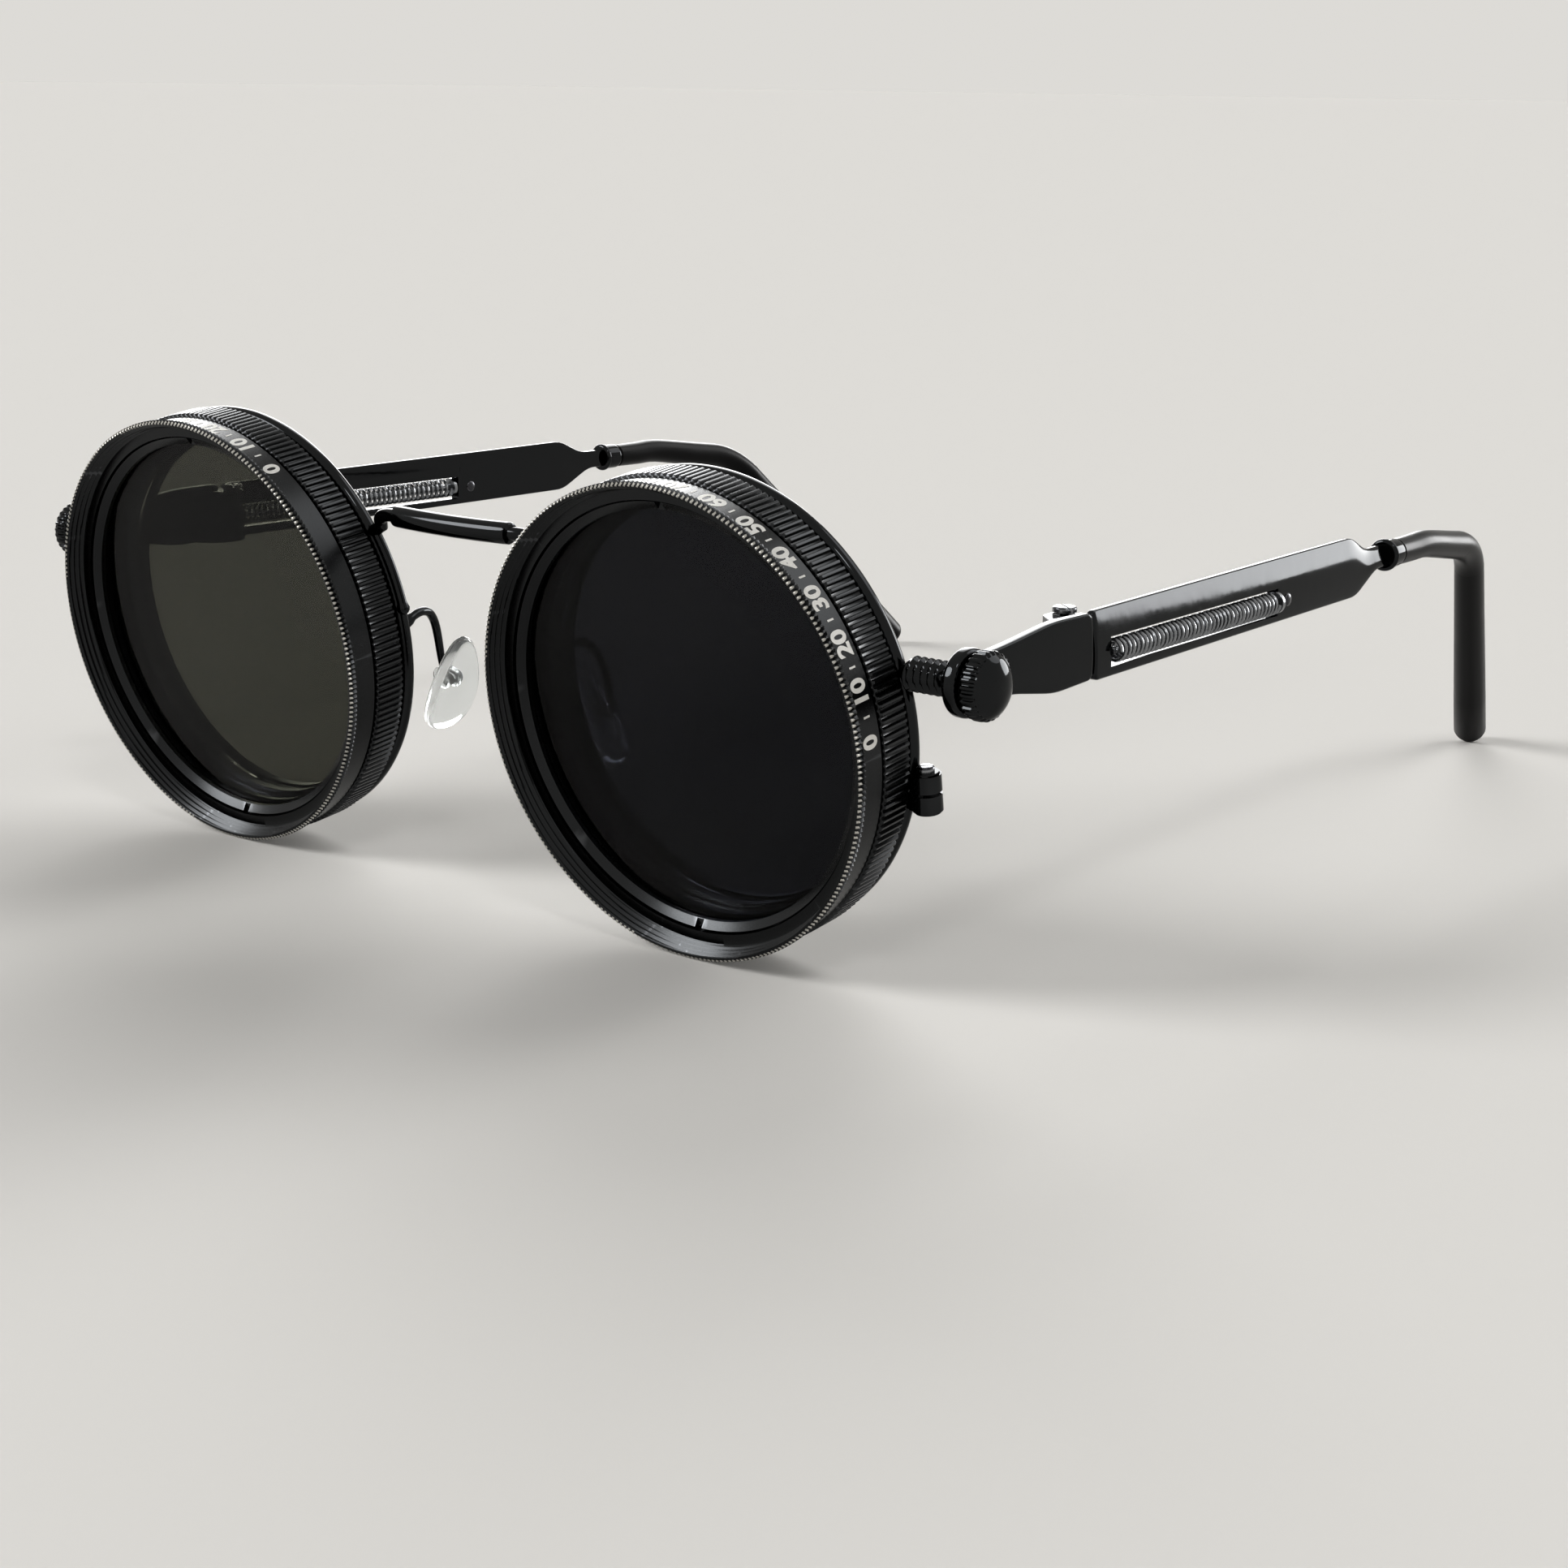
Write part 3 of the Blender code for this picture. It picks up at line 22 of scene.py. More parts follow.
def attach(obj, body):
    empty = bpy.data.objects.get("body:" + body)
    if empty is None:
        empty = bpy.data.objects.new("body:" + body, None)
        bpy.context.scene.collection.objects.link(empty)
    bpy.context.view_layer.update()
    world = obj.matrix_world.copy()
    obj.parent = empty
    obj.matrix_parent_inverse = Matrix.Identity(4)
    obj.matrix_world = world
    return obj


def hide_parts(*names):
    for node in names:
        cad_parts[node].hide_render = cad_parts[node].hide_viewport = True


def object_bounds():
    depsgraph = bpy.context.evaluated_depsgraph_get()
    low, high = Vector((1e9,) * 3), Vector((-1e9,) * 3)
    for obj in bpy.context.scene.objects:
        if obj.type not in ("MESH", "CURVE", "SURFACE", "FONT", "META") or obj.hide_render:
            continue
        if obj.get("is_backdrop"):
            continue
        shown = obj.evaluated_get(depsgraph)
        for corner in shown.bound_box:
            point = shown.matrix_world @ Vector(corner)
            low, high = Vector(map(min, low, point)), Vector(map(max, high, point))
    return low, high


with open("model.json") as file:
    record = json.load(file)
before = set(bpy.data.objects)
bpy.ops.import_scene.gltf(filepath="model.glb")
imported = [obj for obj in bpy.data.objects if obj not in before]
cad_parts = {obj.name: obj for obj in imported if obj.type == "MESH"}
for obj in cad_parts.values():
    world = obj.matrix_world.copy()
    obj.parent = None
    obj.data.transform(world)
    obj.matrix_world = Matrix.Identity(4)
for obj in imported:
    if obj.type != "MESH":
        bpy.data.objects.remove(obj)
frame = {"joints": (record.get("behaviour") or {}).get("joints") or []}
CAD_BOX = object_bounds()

bl_info = {
    "name": "Steampunk Glasses",
    "version": (1, 0, 0),
    "blender": (4, 5, 0),
    "location": "View3D > Sidebar > Glasses",
    "description": "Builds the fine pieces and finishes of a pair of steampunk glasses",
    "category": "Object",
}

MM = 0.001
SIDES = (("left", 1), ("right", -1))
JOINTS = {joint["name"]: joint for joint in frame["joints"]}

# Clearance between pieces that fit into each other, and overrun of each cut
FIT_GAP = 0.15 * MM
CUT_OVERRUN = 1.0 * MM
WELD_DISTANCE = 0.0005 * MM

# Steps round a piece: rings are large and need more than screws
RING_STEPS = 240
BOSS_STEPS = 64
SCREW_STEPS = 40
BAR_SIDES = 32
TUBE_SIDES = 24
WIRE_SIDES = 10
COIL_POINTS = 16
THREAD_ROWS = 8
SHARP_ANGLE = math.radians(32.0)
CARVED_ANGLE = math.radians(50.0)
ROUND_END_DEGREES = (0.0, 25.0, 50.0, 70.0, 84.0)
PRISM_BEVEL_STEPS = 3
CARVED_BEVEL_STEPS = 2

# A bar that starts closer to upright than this sine takes its side direction from X
UPRIGHT_SINE = 0.1

# Slotted screws; an arc is given by its start and end in degrees and its steps
SCREW_HEAD_HEIGHT = 0.6 * MM
SCREW_SLOT = 0.28 * MM
SCREW_SKEW = math.radians(35.0)
SCREW_CROWN_SHARE = 0.45
SCREW_TOP_SHARE = 0.3
SLOT_EDGE_SHARE = 0.12
SCREW_ARC = (80, 0, 4)


def length(name, size_mm, description):
    """A size that shows in the panel, given in millimetres and kept in metres."""
    return FloatProperty(
        name=name,
        description=description,
        default=size_mm * MM,
        min=0.0,
        precision=5,
        unit="LENGTH",
    )


def whole_number(name, default, description):
    return IntProperty(name=name, description=description, default=default, min=4)


def linear_colour(code):
    """An sRGB hex value, such as #1c1c1e, as linear red, green and blue."""
    channels = [int(code[start : start + 2], 16) / 255 for start in (1, 3, 5)]
    return tuple(c / 12.92 if c <= 0.04045 else ((c + 0.055) / 1.055) ** 2.4 for c in channels)


def colour(name, code, description):
    return FloatVectorProperty(
        name=name,
        description=description,
        default=linear_colour(code),
        subtype="COLOR",
        min=0.0,
        max=1.0,
    )


class FilterSizes(bpy.types.PropertyGroup):
    """Sizes of the turning filters."""

    lip_radius: length("Lip radius", 27.0, "Outer radius of the knurled front lip")
    ring_depth: length("Ring depth", 4.3, "Depth of the turning ring")
    base_depth: length("Base depth", 4.2, "Depth of the knurled base ring")
    running_gap: length("Running gap", 0.2, "Gap between the turning ring and the base ring")
    lip_teeth: whole_number("Lip ridges", 270, "Ridges of the fine straight knurl")
    grip_teeth: whole_number("Grip ridges", 195, "Ridges of the base ring's grip")
    numeral_height: length("Numeral height", 2.1, "Height of the printed dial numbers")


class FrontSizes(bpy.types.PropertyGroup):
    """Sizes of the eyewires, the bridge, the studs and the nuts."""

    rim_width: length("Rim width", 1.7, "Width of an eyewire, front to back")
    bridge_radius: length("Bridge radius", 1.3, "Radius of the bridge bar")
    bridge_neck: length("Bridge neck", 0.8, "Radius of the bridge's thin necks")
    stud_radius: length("Stud radius", 1.93, "Outer radius of the threaded stud")
    stud_pitch: length("Stud pitch", 0.9, "Pitch of the stud's thread")
    nut_radius: length("Nut radius", 3.7, "Outer radius of the thumb nut")
    nut_ridges: whole_number("Nut ridges", 28, "Ridges round the thumb nut")


class TempleSizes(bpy.types.PropertyGroup):
    """Sizes of the temples."""

    thickness: length("Plate thickness", 1.6, "Thickness of the temple plate")
    crown: length("Plate crown", 0.9, "How far the plate's outer face falls away to its top edge")
    coil_turns: whole_number("Coil turns", 41, "Turns of the decorative spring")
    coil_radius: length("Coil radius", 1.4, "Outer radius of the decorative spring")
    coil_wire: length("Coil wire", 0.22, "Radius of the spring's wire")
    tip_start: length("Tip start", 1.7, "Radius of the tip at its collar")
    tip_end: length("Tip end", 2.4, "Radius of the tip at its end")


class PadSizes(bpy.types.PropertyGroup):
    """Sizes of the nose pads."""

    pad_length: length("Pad length", 13.5, "Length of a nose pad")
    pad_width: length("Pad width", 7.2, "Width of a nose pad")
    pad_thickness: length("Pad thickness", 2.0, "Thickness of a nose pad")
    arm_radius: length("Arm radius", 0.55, "Radius of the pad's wire arm")


class Finishes(bpy.types.PropertyGroup):
    """Colours of the finishes."""

    anodised: colour("Anodised", "#28292a", "Dyed black of the filter rings")
    bare_edge: colour("Bare edge", "#5d5f62", "Metal that shows at worn edges")
    # Painted highlight: a pale colour laid on the front of the lip's teeth, standing in for their
    # glints
    bare_teeth: colour("Painted teeth glint", "#b4b2ac", "Aluminium on the front of the lip's teeth")
    plated: colour("Gloss black", "#242526", "Gloss black of rims, plates and nuts")
    spring: colour("Spring wire", "#8c8e91", "Dark drawn spring wire")
    screw: colour("Screws", "#3a3a3d", "Blackened steel of the screws")
    sleeve: colour("Sleeve", "#020203", "Moulded black of the temple tips")
    pad: colour("Pads", "#f3f6f6", "Clear silicone of the nose pads")
    front_glass: colour("Front panes", "#96979a", "Neutral grey of the turning panes")
    left_glass: colour("Left rear pane", "#26272c", "Near black of the darker filter")
    right_glass: colour("Right rear pane", "#68685a", "Olive grey of the paler filter")
    ink: colour("Ink", "#eceae4", "Printed numbers and marks")


class StudioSettings(bpy.types.PropertyGroup):
    """Floor, light and camera."""

    floor: colour("Floor", "#d0ceca", "Pale floor")
    sky: FloatProperty(
        name="Sky", description="Level of the even light all round", default=0.03, min=0.0
    )
    lamps: FloatProperty(
        name="Lamps", description="Level of the soft lamps together", default=1.0, min=0.0
    )
    lens: FloatProperty(
        name="Lens", description="Camera lens in millimetres", default=64.97, min=1.0
    )


# Places of the model, from its joints


def joint_place(name):
    return Vector(JOINTS[name]["pos_m"])


def front_frame():
    """The leaning front: x across the face, y back from the lips, z up from the lens centres."""
    place = joint_place("left_filter_turn")
    axis = JOINTS["left_filter_turn"]["axis"]
    lean = math.atan2(-axis[2], -axis[1])
    return Matrix.Translation((0.0, place.y, place.z)) @ Matrix.Rotation(lean, 4, "X")


def lens_frame(label):
    place = joint_place(f"{label}_filter_turn")
    return front_frame() @ Matrix.Translation((place.x, 0.0, 0.0))


def lathe_frame(label):
    """A lens frame turned so that its local Z runs back along the filter's axis."""
    return lens_frame(label) @ Matrix.Rotation(-math.pi / 2, 4, "X")


def hinge_frame(label):
    return Matrix.Translation(joint_place(f"{label}_temple_fold"))


def temple_frame(label, side):
    inward = side * math.radians(TEMPLE_INWARD_DEGREES)
    return hinge_frame(label) @ Matrix.Rotation(inward, 4, "Z")


def facing_side(side):
    """Turns a local Z axis outwards along X."""
    return Matrix.Rotation(side * math.pi / 2, 4, "Y")


# Meshes


def smoothed(mesh):
    """Shades a mesh smooth, apart from its sharp edges."""
    mesh.shade_smooth()
    mesh.set_sharp_from_angle(angle=SHARP_ANGLE)
    return mesh


def mesh_from(work):
    mesh = bpy.data.meshes.new("piece")
    work.to_mesh(mesh)
    work.free()
    return mesh


def finish_mesh(mesh):
    """Welds what meets, turns the faces outwards, and smooths all but the sharp edges."""
    work = bmesh.new()
    work.from_mesh(mesh)
    bmesh.ops.remove_doubles(work, verts=work.verts, dist=WELD_DISTANCE)
    bmesh.ops.recalc_face_normals(work, faces=work.faces)
    work.to_mesh(mesh)
    work.free()
    return smoothed(mesh)


def grid_mesh(rows, closed=False):
    """A skin over rows of points, each row a closed loop; closed joins the last to the first."""
    count = len(rows)
    loop = len(rows[0])
    faces = []
    for row in range(count if closed else count - 1):
        below = row * loop
        above = (row + 1) % count * loop
        for step in range(loop):
            after = (step + 1) % loop
            faces.append((below + step, below + after, above + after, above + step))
    if not closed:
        faces.append(tuple(range(loop)))
        faces.append(tuple(range((count - 1) * loop, count * loop)))
    mesh = bpy.data.meshes.new("piece")
    mesh.from_pydata(np.concatenate(rows).tolist(), [], faces)
    return finish_mesh(mesh)


def turned(profile, steps, tooth=(0.0,), closed=True):
    """A profile of (radius, height, depth of ridge) turned about Z.

    A radius is a number or one value for each step. The tooth gives the share of the ridge's
    depth that is cut away at each of its steps, and is repeated all round.
    """
    angle = np.arange(steps) * math.tau / steps
    share = np.resize(tooth, steps)
    rows = []
    for radius, height, *depth in profile:
        reach = radius - (depth[0] if depth else 0.0) * share
        heights = np.full(steps, height)
        rows.append(np.stack([reach * np.cos(angle), reach * np.sin(angle), heights], axis=1))
    return grid_mesh(rows, closed)


def capped(profile, steps, tooth=(0.0,)):
    """A turned piece whose profile starts and ends on the axis."""
    return turned(profile, steps, tooth, closed=False)


def thread_rows(radius, depth, pitch, start, end, steps, flare=0.0):
    """Profile rows of a helical thread, one pitch for each turn, widening by a flare."""
    turn = np.arange(steps) / steps
    count = max(2, round(THREAD_ROWS * abs(end - start) / pitch))
    rows = []
    for height in np.linspace(start, end, count + 1):
        phase = (height / pitch - turn) % 1.0
        wide = radius + flare * (height - start) / (end - start)
        rows.append((wide - depth * np.abs(2 * phase - 1), height))
    return rows


def arc_rows(radius, height, reach, rise, start, end, steps):
    """Profile points on a quarter or half ellipse, from start to end in degrees."""
    rows = []
    for step in range(steps + 1):
        turn = math.radians(start + (end - start) * step / steps)
        rows.append((radius + reach * math.cos(turn), height + rise * math.sin(turn)))
    return rows


def disc_rows(hole, radius, low, high, edge):
    """Profile points of a disc or washer between two heights, its rims chamfered by edge."""
    return [
        (hole, low),
        (radius - edge, low),
        (radius, low + edge),
        (radius, high - edge),
        (radius - edge, high),
        (hole, high),
    ]


def swept(points, radii, sides=TUBE_SIDES):
    """A round bar through the points."""
    path = np.array([tuple(point) for point in points])
    along = np.gradient(path, axis=0)
    along /= np.linalg.norm(along, axis=1)[:, None]
    across = np.cross(along[0], (0.0, 0.0, 1.0))
    if np.linalg.norm(across) < UPRIGHT_SINE:
        across = np.cross(along[0], (1.0, 0.0, 0.0))
    turn = np.arange(sides) * math.tau / sides
    rows = []
    for place, way, radius in zip(path, along, radii):
        across = across - way * np.dot(across, way)
        across /= np.linalg.norm(across)
        up = np.cross(way, across)
        ring = np.outer(np.cos(turn), across) + np.outer(np.sin(turn), up)
        rows.append(place + radius * ring)
    return grid_mesh(rows)


def smooth_path(points, radii, steps):
    """A curve through the points, with their radii, in finer steps."""
    path = [Vector(point) for point in points]
    count = len(path)
    fine, wide = [], []
    for index in range(count - 1):
        before = path[max(index - 1, 0)]
        start, end = path[index], path[index + 1]
        after = path[min(index + 2, count - 1)]
        for step in range(steps):
            t = step / steps
            place = start * 2 + (end - before) * t
            place += (before * 2 - start * 5 + end * 4 - after) * t**2
            place += (start * 3 - before - end * 3 + after) * t**3
            fine.append(place / 2)
            wide.append(radii[index] + (radii[index + 1] - radii[index]) * t)
    return fine + [path[-1]], wide + [radii[-1]]


def rounded_ends(points, radii):
    """Adds rows that round off both ends of a bar, the start first."""
    for _ in range(2):
        points, radii = points[::-1], radii[::-1]
        tip, radius = points[-1], radii[-1]
        way = (tip - points[-2]).normalized()
        rows = [row for row in zip(points, radii) if (row[0] - tip).length > radius]
        for turn in ROUND_END_DEGREES:
            angle = math.radians(turn)
            rows.append((tip - way * radius * (1 - math.sin(angle)), radius * math.cos(angle)))
        points, radii = ([row[part] for row in rows] for part in range(2))
    return points, radii


def block(size):
    """A box about its own middle."""
    work = bmesh.new()
    bmesh.ops.create_cube(work, size=1.0)
    bmesh.ops.scale(work, vec=size, verts=work.verts)
    return finish_mesh(mesh_from(work))


def prism(outline, height, edge):
    """A flat outline made solid along Z, with rounded rims."""
    work = bmesh.new()
    floor = [work.verts.new((u, v, -height / 2)) for u, v in outline]
    face = work.faces.new(floor)
    lifted = bmesh.ops.extrude_face_region(work, geom=[face])
    top = [item for item in lifted["geom"] if isinstance(item, bmesh.types.BMVert)]
    bmesh.ops.translate(work, verts=top, vec=(0.0, 0.0, height))
    bmesh.ops.recalc_face_normals(work, faces=work.faces)
    rims = [e for e in work.edges if abs(e.verts[0].co.z - e.verts[1].co.z) < height / 2]
    bmesh.ops.bevel(work, geom=rims, offset=edge, segments=PRISM_BEVEL_STEPS, affect="EDGES")
    return finish_mesh(mesh_from(work))


def moved(mesh, matrix):
    mesh.transform(matrix)
    return mesh


def shifted(mesh, x=0.0, y=0.0, z=0.0):
    return moved(mesh, Matrix.Translation((x, y, z)))


def merged(meshes):
    """One mesh of several closed ones."""
    work = bmesh.new()
    for mesh in meshes:
        work.from_mesh(mesh)
        bpy.data.meshes.remove(mesh)
    return smoothed(mesh_from(work))


def carved(mesh, cutter, edge=0.0):
    """Cuts the cutter out of the mesh, and softens the new edges."""
    body, tool = (bpy.data.objects.new("helper", part) for part in (mesh, cutter))
    for helper in (body, tool):
        bpy.context.scene.collection.objects.link(helper)
    cut = body.modifiers.new("Cut", "BOOLEAN")
    cut.operation = "DIFFERENCE"
    cut.solver = "EXACT"
    cut.object = tool
    if edge:
        soften = body.modifiers.new("Edges", "BEVEL")
        soften.width = edge
        soften.segments = CARVED_BEVEL_STEPS
        soften.limit_method = "ANGLE"
        soften.angle_limit = CARVED_ANGLE
    bpy.context.view_layer.update()
    graph = bpy.context.evaluated_depsgraph_get()
    result = bpy.data.meshes.new_from_object(body.evaluated_get(graph))
    for helper in (body, tool):
        bpy.data.objects.remove(helper, do_unlink=True)
    result.materials.clear()
    return smoothed(result)


def place_piece(name, mesh, matrix, body, finish, node=None, slot=None):
    """Puts a finished mesh in the scene, on its body, in place of its plain solid if it has one.

    The slot is not used.
    """
    mesh.name = name
    piece = bpy.data.objects.new(name, mesh)
    bpy.context.scene.collection.objects.link(piece)
    piece.matrix_world = matrix
    mesh.materials.append(FINISHES[finish])
    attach(piece, body)
    if node:
        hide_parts(node)
    return piece


def place_side(label, *rows):
    """Places a side's pieces: each row has the name, mesh, place, body, finish and node."""
    for name, mesh, matrix, body, finish, node, *slot in rows:
        place_piece(f"{label}_{name}", mesh, matrix, body, finish, f"{label}_{node}", *slot)


def slotted_screw(radius, head, head_height, shank, slot_width):
    """A cheese-headed screw: its head stands on Z = 0 and its shank goes down from there."""
    crown = head_height * SCREW_CROWN_SHARE
    profile = [(0.0, head_height), (head * SCREW_TOP_SHARE, head_height)]
    profile += arc_rows(head - crown, head_height - crown, crown, crown, *SCREW_ARC)
    profile += [(head, 0.0), (radius, 0.0), (radius, -shank + radius / 2)]
    profile += [(radius / 2, -shank), (0.0, -shank)]
    slot = block((2 * head + CUT_OVERRUN, slot_width, head_height))
    edge = slot_width * SLOT_EDGE_SHARE
    return carved(capped(profile, SCREW_STEPS), shifted(slot, z=head_height), edge)


# Finishes

FINISHES = {}

# How much of the grazing light the black finishes mirror, against bare metal
ANODISED_EDGE_TINT = 0.9
PLATED_EDGE_TINT = 0.7
SILICONE_IOR = 1.41
COATED_GLASS_IOR = 1.15

# The part of a pattern's values, from 0 to 1, over which a finish changes
PATTERN_RANGE = (0.3, 0.7)


def add_node(tree, kind, settings=None, links=None, **fields):
    """Adds a node, sets its fields and sockets, and links its inputs."""
    node = tree.nodes.new(kind)
    for name, value in fields.items():
        setattr(node, name, value)
    for name, value in (settings or {}).items():
        node.inputs[name].default_value = value
    for name, source in (links or {}).items():
        tree.links.new(source, node.inputs[name])
    return node


def new_finish(name, base, roughness, metallic=0.0, **sockets):
    """A material with the values of its sockets, and the piece's own coordinates in metres."""
    material = bpy.data.materials.new(name)
    material.use_nodes = True
    surface = material.node_tree.nodes["Principled BSDF"]
    values = {"Base Color": (*base, 1.0), "Roughness": roughness, "Metallic": metallic}
    values.update((socket.replace("_", " "), value) for socket, value in sockets.items())
    for socket, value in values.items():
        surface.inputs[socket].default_value = value
    add_node(material.node_tree, "ShaderNodeTexCoord", name="Place")
    return material


def finish_parts(material):
    """A finish's nodes, its surface and its coordinates."""
    tree = material.node_tree
    return tree, tree.nodes["Principled BSDF"], tree.nodes["Place"].outputs["Object"]


def grain_of(size, detail):
    """The settings of a pattern whose grain is this many millimetres."""
    return {"Scale": 1 / (size * MM), "Detail": detail}


def raise_relief(material, pattern, strength, depth, lathe=None):
    """Raises a fine pattern on the surface, over any that is there, its depth in millimetres."""
    tree, surface, place = finish_parts(material)
    grain = add_node(tree, "ShaderNodeTexNoise", pattern, {"Vector": lathe or place})
    links = {"Height": grain.outputs["Fac"]}
    for under in surface.inputs["Normal"].links:
        links["Normal"] = under.from_socket
    values = {"Strength": strength, "Distance": depth * MM}
    bump = add_node(tree, "ShaderNodeBump", values, links)
    tree.links.new(bump.outputs["Normal"], surface.inputs["Normal"])


def vary_roughness(material, pattern, least, most):
    """Lets a pattern move the roughness between two values."""
    tree, surface, place = finish_parts(material)
    grain = add_node(tree, "ShaderNodeTexNoise", pattern, {"Vector": place})
    low, high = PATTERN_RANGE
    values = {"From Min": low, "From Max": high, "To Min": least, "To Max": most}
    spread = add_node(tree, "ShaderNodeMapRange", values, {"Value": grain.outputs["Fac"]})
    tree.links.new(spread.outputs["Result"], surface.inputs["Roughness"])


def vary_colour(material, pattern, share):
    """Lets a pattern darken the colour to a share of itself."""
    tree, surface, place = finish_parts(material)
    grain = add_node(tree, "ShaderNodeTexNoise", pattern, {"Vector": place})
    base = surface.inputs["Base Color"].default_value[:3]
    colours = {"A": (*base, 1.0), "B": (*[channel * share for channel in base], 1.0)}
    links = {"Factor": grain.outputs["Fac"]}
    mix = add_node(tree, "ShaderNodeMix", colours, links, data_type="RGBA")
    tree.links.new(mix.outputs["Result"], surface.inputs["Base Color"])


def wear_edges(material, bare, low, high, most):
    """Shows the paler metal where the surface is sharpest."""
    tree, surface, _ = finish_parts(material)
    shape = add_node(tree, "ShaderNodeNewGeometry").outputs["Pointiness"]
    values = {"From Min": low, "From Max": high, "To Min": 0.0, "To Max": most}
    sharp = add_node(tree, "ShaderNodeMapRange", values, {"Value": shape})
    base = surface.inputs["Base Color"].default_value[:3]
    colours = {"A": (*base, 1.0), "B": (*bare, 1.0)}
    links = {"Factor": sharp.outputs["Result"]}
    mix = add_node(tree, "ShaderNodeMix", colours, links, data_type="RGBA")
    tree.links.new(mix.outputs["Result"], surface.inputs["Base Color"])


def lathe_coordinates(material):
    """The piece's reach from its local Z axis and its height, which the tool marks follow."""
    tree, _, place = finish_parts(material)
    parts = add_node(tree, "ShaderNodeSeparateXYZ", links={"Vector": place})
    across = {"X": parts.outputs["X"], "Y": parts.outputs["Y"]}
    flat = add_node(tree, "ShaderNodeCombineXYZ", links=across).outputs["Vector"]
    reach = add_node(tree, "ShaderNodeVectorMath", links={0: flat}, operation="LENGTH")
    links = {"X": reach.outputs["Value"], "Y": parts.outputs["Z"]}
    return add_node(tree, "ShaderNodeCombineXYZ", links=links).outputs["Vector"]


def anodised_aluminium(colours):
    """Aluminium, turned, bead-blasted and dyed black.

    The blasting gives a satin sparkle of 0.12 mm grain, the lathe faint rings about 0.09 mm
    apart, and the edges of the knurls show a little paler where fingers rub them.
    """
    tint = (*[ANODISED_EDGE_TINT] * 3, 1.0)
    name = "anodised_aluminium_black"
    material = new_finish(name, colours.anodised, 0.2, 1.0, Specular_Tint=tint)
    raise_relief(material, grain_of(0.09, 1.0), 0.35, 0.006, lathe_coordinates(material))
    raise_relief(material, grain_of(0.12, 3.0), 0.3, 0.008)
    vary_roughness(material, grain_of(0.12, 3.0), 0.2, 0.28)
    wear_edges(material, colours.bare_edge, 0.54, 0.66, 0.35)
    return material


def gloss_black_plating(colours):
    """Nickel alloy, polished and finished in baked gloss black.

    It mirrors the lamps sharply, over a slow ripple of about 2 mm from polishing by hand, and
    smears of about 5 mm dull it a little.
    """
    tint = (*[PLATED_EDGE_TINT] * 3, 1.0)
    material = new_finish("gloss_black_plating", colours.plated, 0.07, 1.0, Specular_Tint=tint)
    raise_relief(material, grain_of(2.0, 1.0), 0.35, 0.02)
    vary_roughness(material, grain_of(5.0, 4.0), 0.05, 0.12)
    wear_edges(material, colours.bare_edge, 0.56, 0.75, 0.3)
    return material


def drawn_spring_wire(colours):
    """Spring steel wire, drawn through a die and oil-blackened.

    Bright on its crests, with scratches of about 0.05 mm along the wire and darker oil between.
    """
    material = new_finish("drawn_spring_wire", colours.spring, 0.25, 1.0)
    raise_relief(material, grain_of(0.05, 2.0), 0.3, 0.004)
    vary_roughness(material, grain_of(0.05, 2.0), 0.18, 0.34)
    vary_colour(material, grain_of(1.6, 2.0), 0.45)
    return material


def blackened_steel(colours):
    """Steel screws, turned and blackened in hot oil: dark, with bright rims at the slot."""
    material = new_finish("blackened_steel_turned", colours.screw, 0.22, 1.0)
    raise_relief(material, grain_of(0.08, 2.0), 0.4, 0.005)
    vary_roughness(material, grain_of(0.08, 2.0), 0.16, 0.3)
    wear_edges(material, colours.spring, 0.53, 0.62, 0.8)
    return material


def moulded_sleeve(colours):
    """Soft plastic, moulded over the core wire: semi-gloss, with a skin grain of 0.2 mm."""
    material = new_finish("moulded_sleeve_black", colours.sleeve, 0.3, Specular_IOR_Level=0.08)
    raise_relief(material, grain_of(0.2, 3.0), 0.35, 0.01)
    vary_roughness(material, grain_of(6.0, 3.0), 0.27, 0.35)
    return material


def clear_silicone(colours):
    """Silicone rubber, moulded clear: it bends light less than glass, and its skin is soft."""
    clear = {"IOR": SILICONE_IOR, "Transmission_Weight": 0.96}
    material = new_finish("clear_moulded_silicone", colours.pad, 0.06, **clear)
    raise_relief(material, grain_of(1.4, 2.0), 0.3, 0.03)
    vary_roughness(material, grain_of(1.4, 2.0), 0.04, 0.12)
    return material


def tinted_glass(name, base):
    """Optical glass around a polarising film, polished and coated against reflections.

    The coating lets each face mirror under one hundredth of the light, which its low index
    gives. The tint of the film drifts slightly over about 9 mm.
    """
    clear = {"IOR": COATED_GLASS_IOR, "Transmission_Weight": 1.0}
    material = new_finish(name, base, 0.0, **clear)
    vary_colour(material, grain_of(9.0, 1.0), 0.93)
    return material


def printed_ink(colours):
    """White screen ink on the band: matt, a little thin where the mesh of the screen shows."""
    material = new_finish("screen_printed_ink", colours.ink, 0.55)
    vary_colour(material, grain_of(0.15, 2.0), 0.8)
    return material


def worn_edge(colours):
    """Pale aluminium colour painted on the front of the lip's teeth as a highlight.

    It stands in for their glints, a row of fine bright dots round the dark glass.
    """
    material = new_finish("aluminium_painted_glint", colours.bare_teeth, 0.3, 1.0)
    vary_roughness(material, grain_of(0.8, 2.0), 0.22, 0.4)
    return material


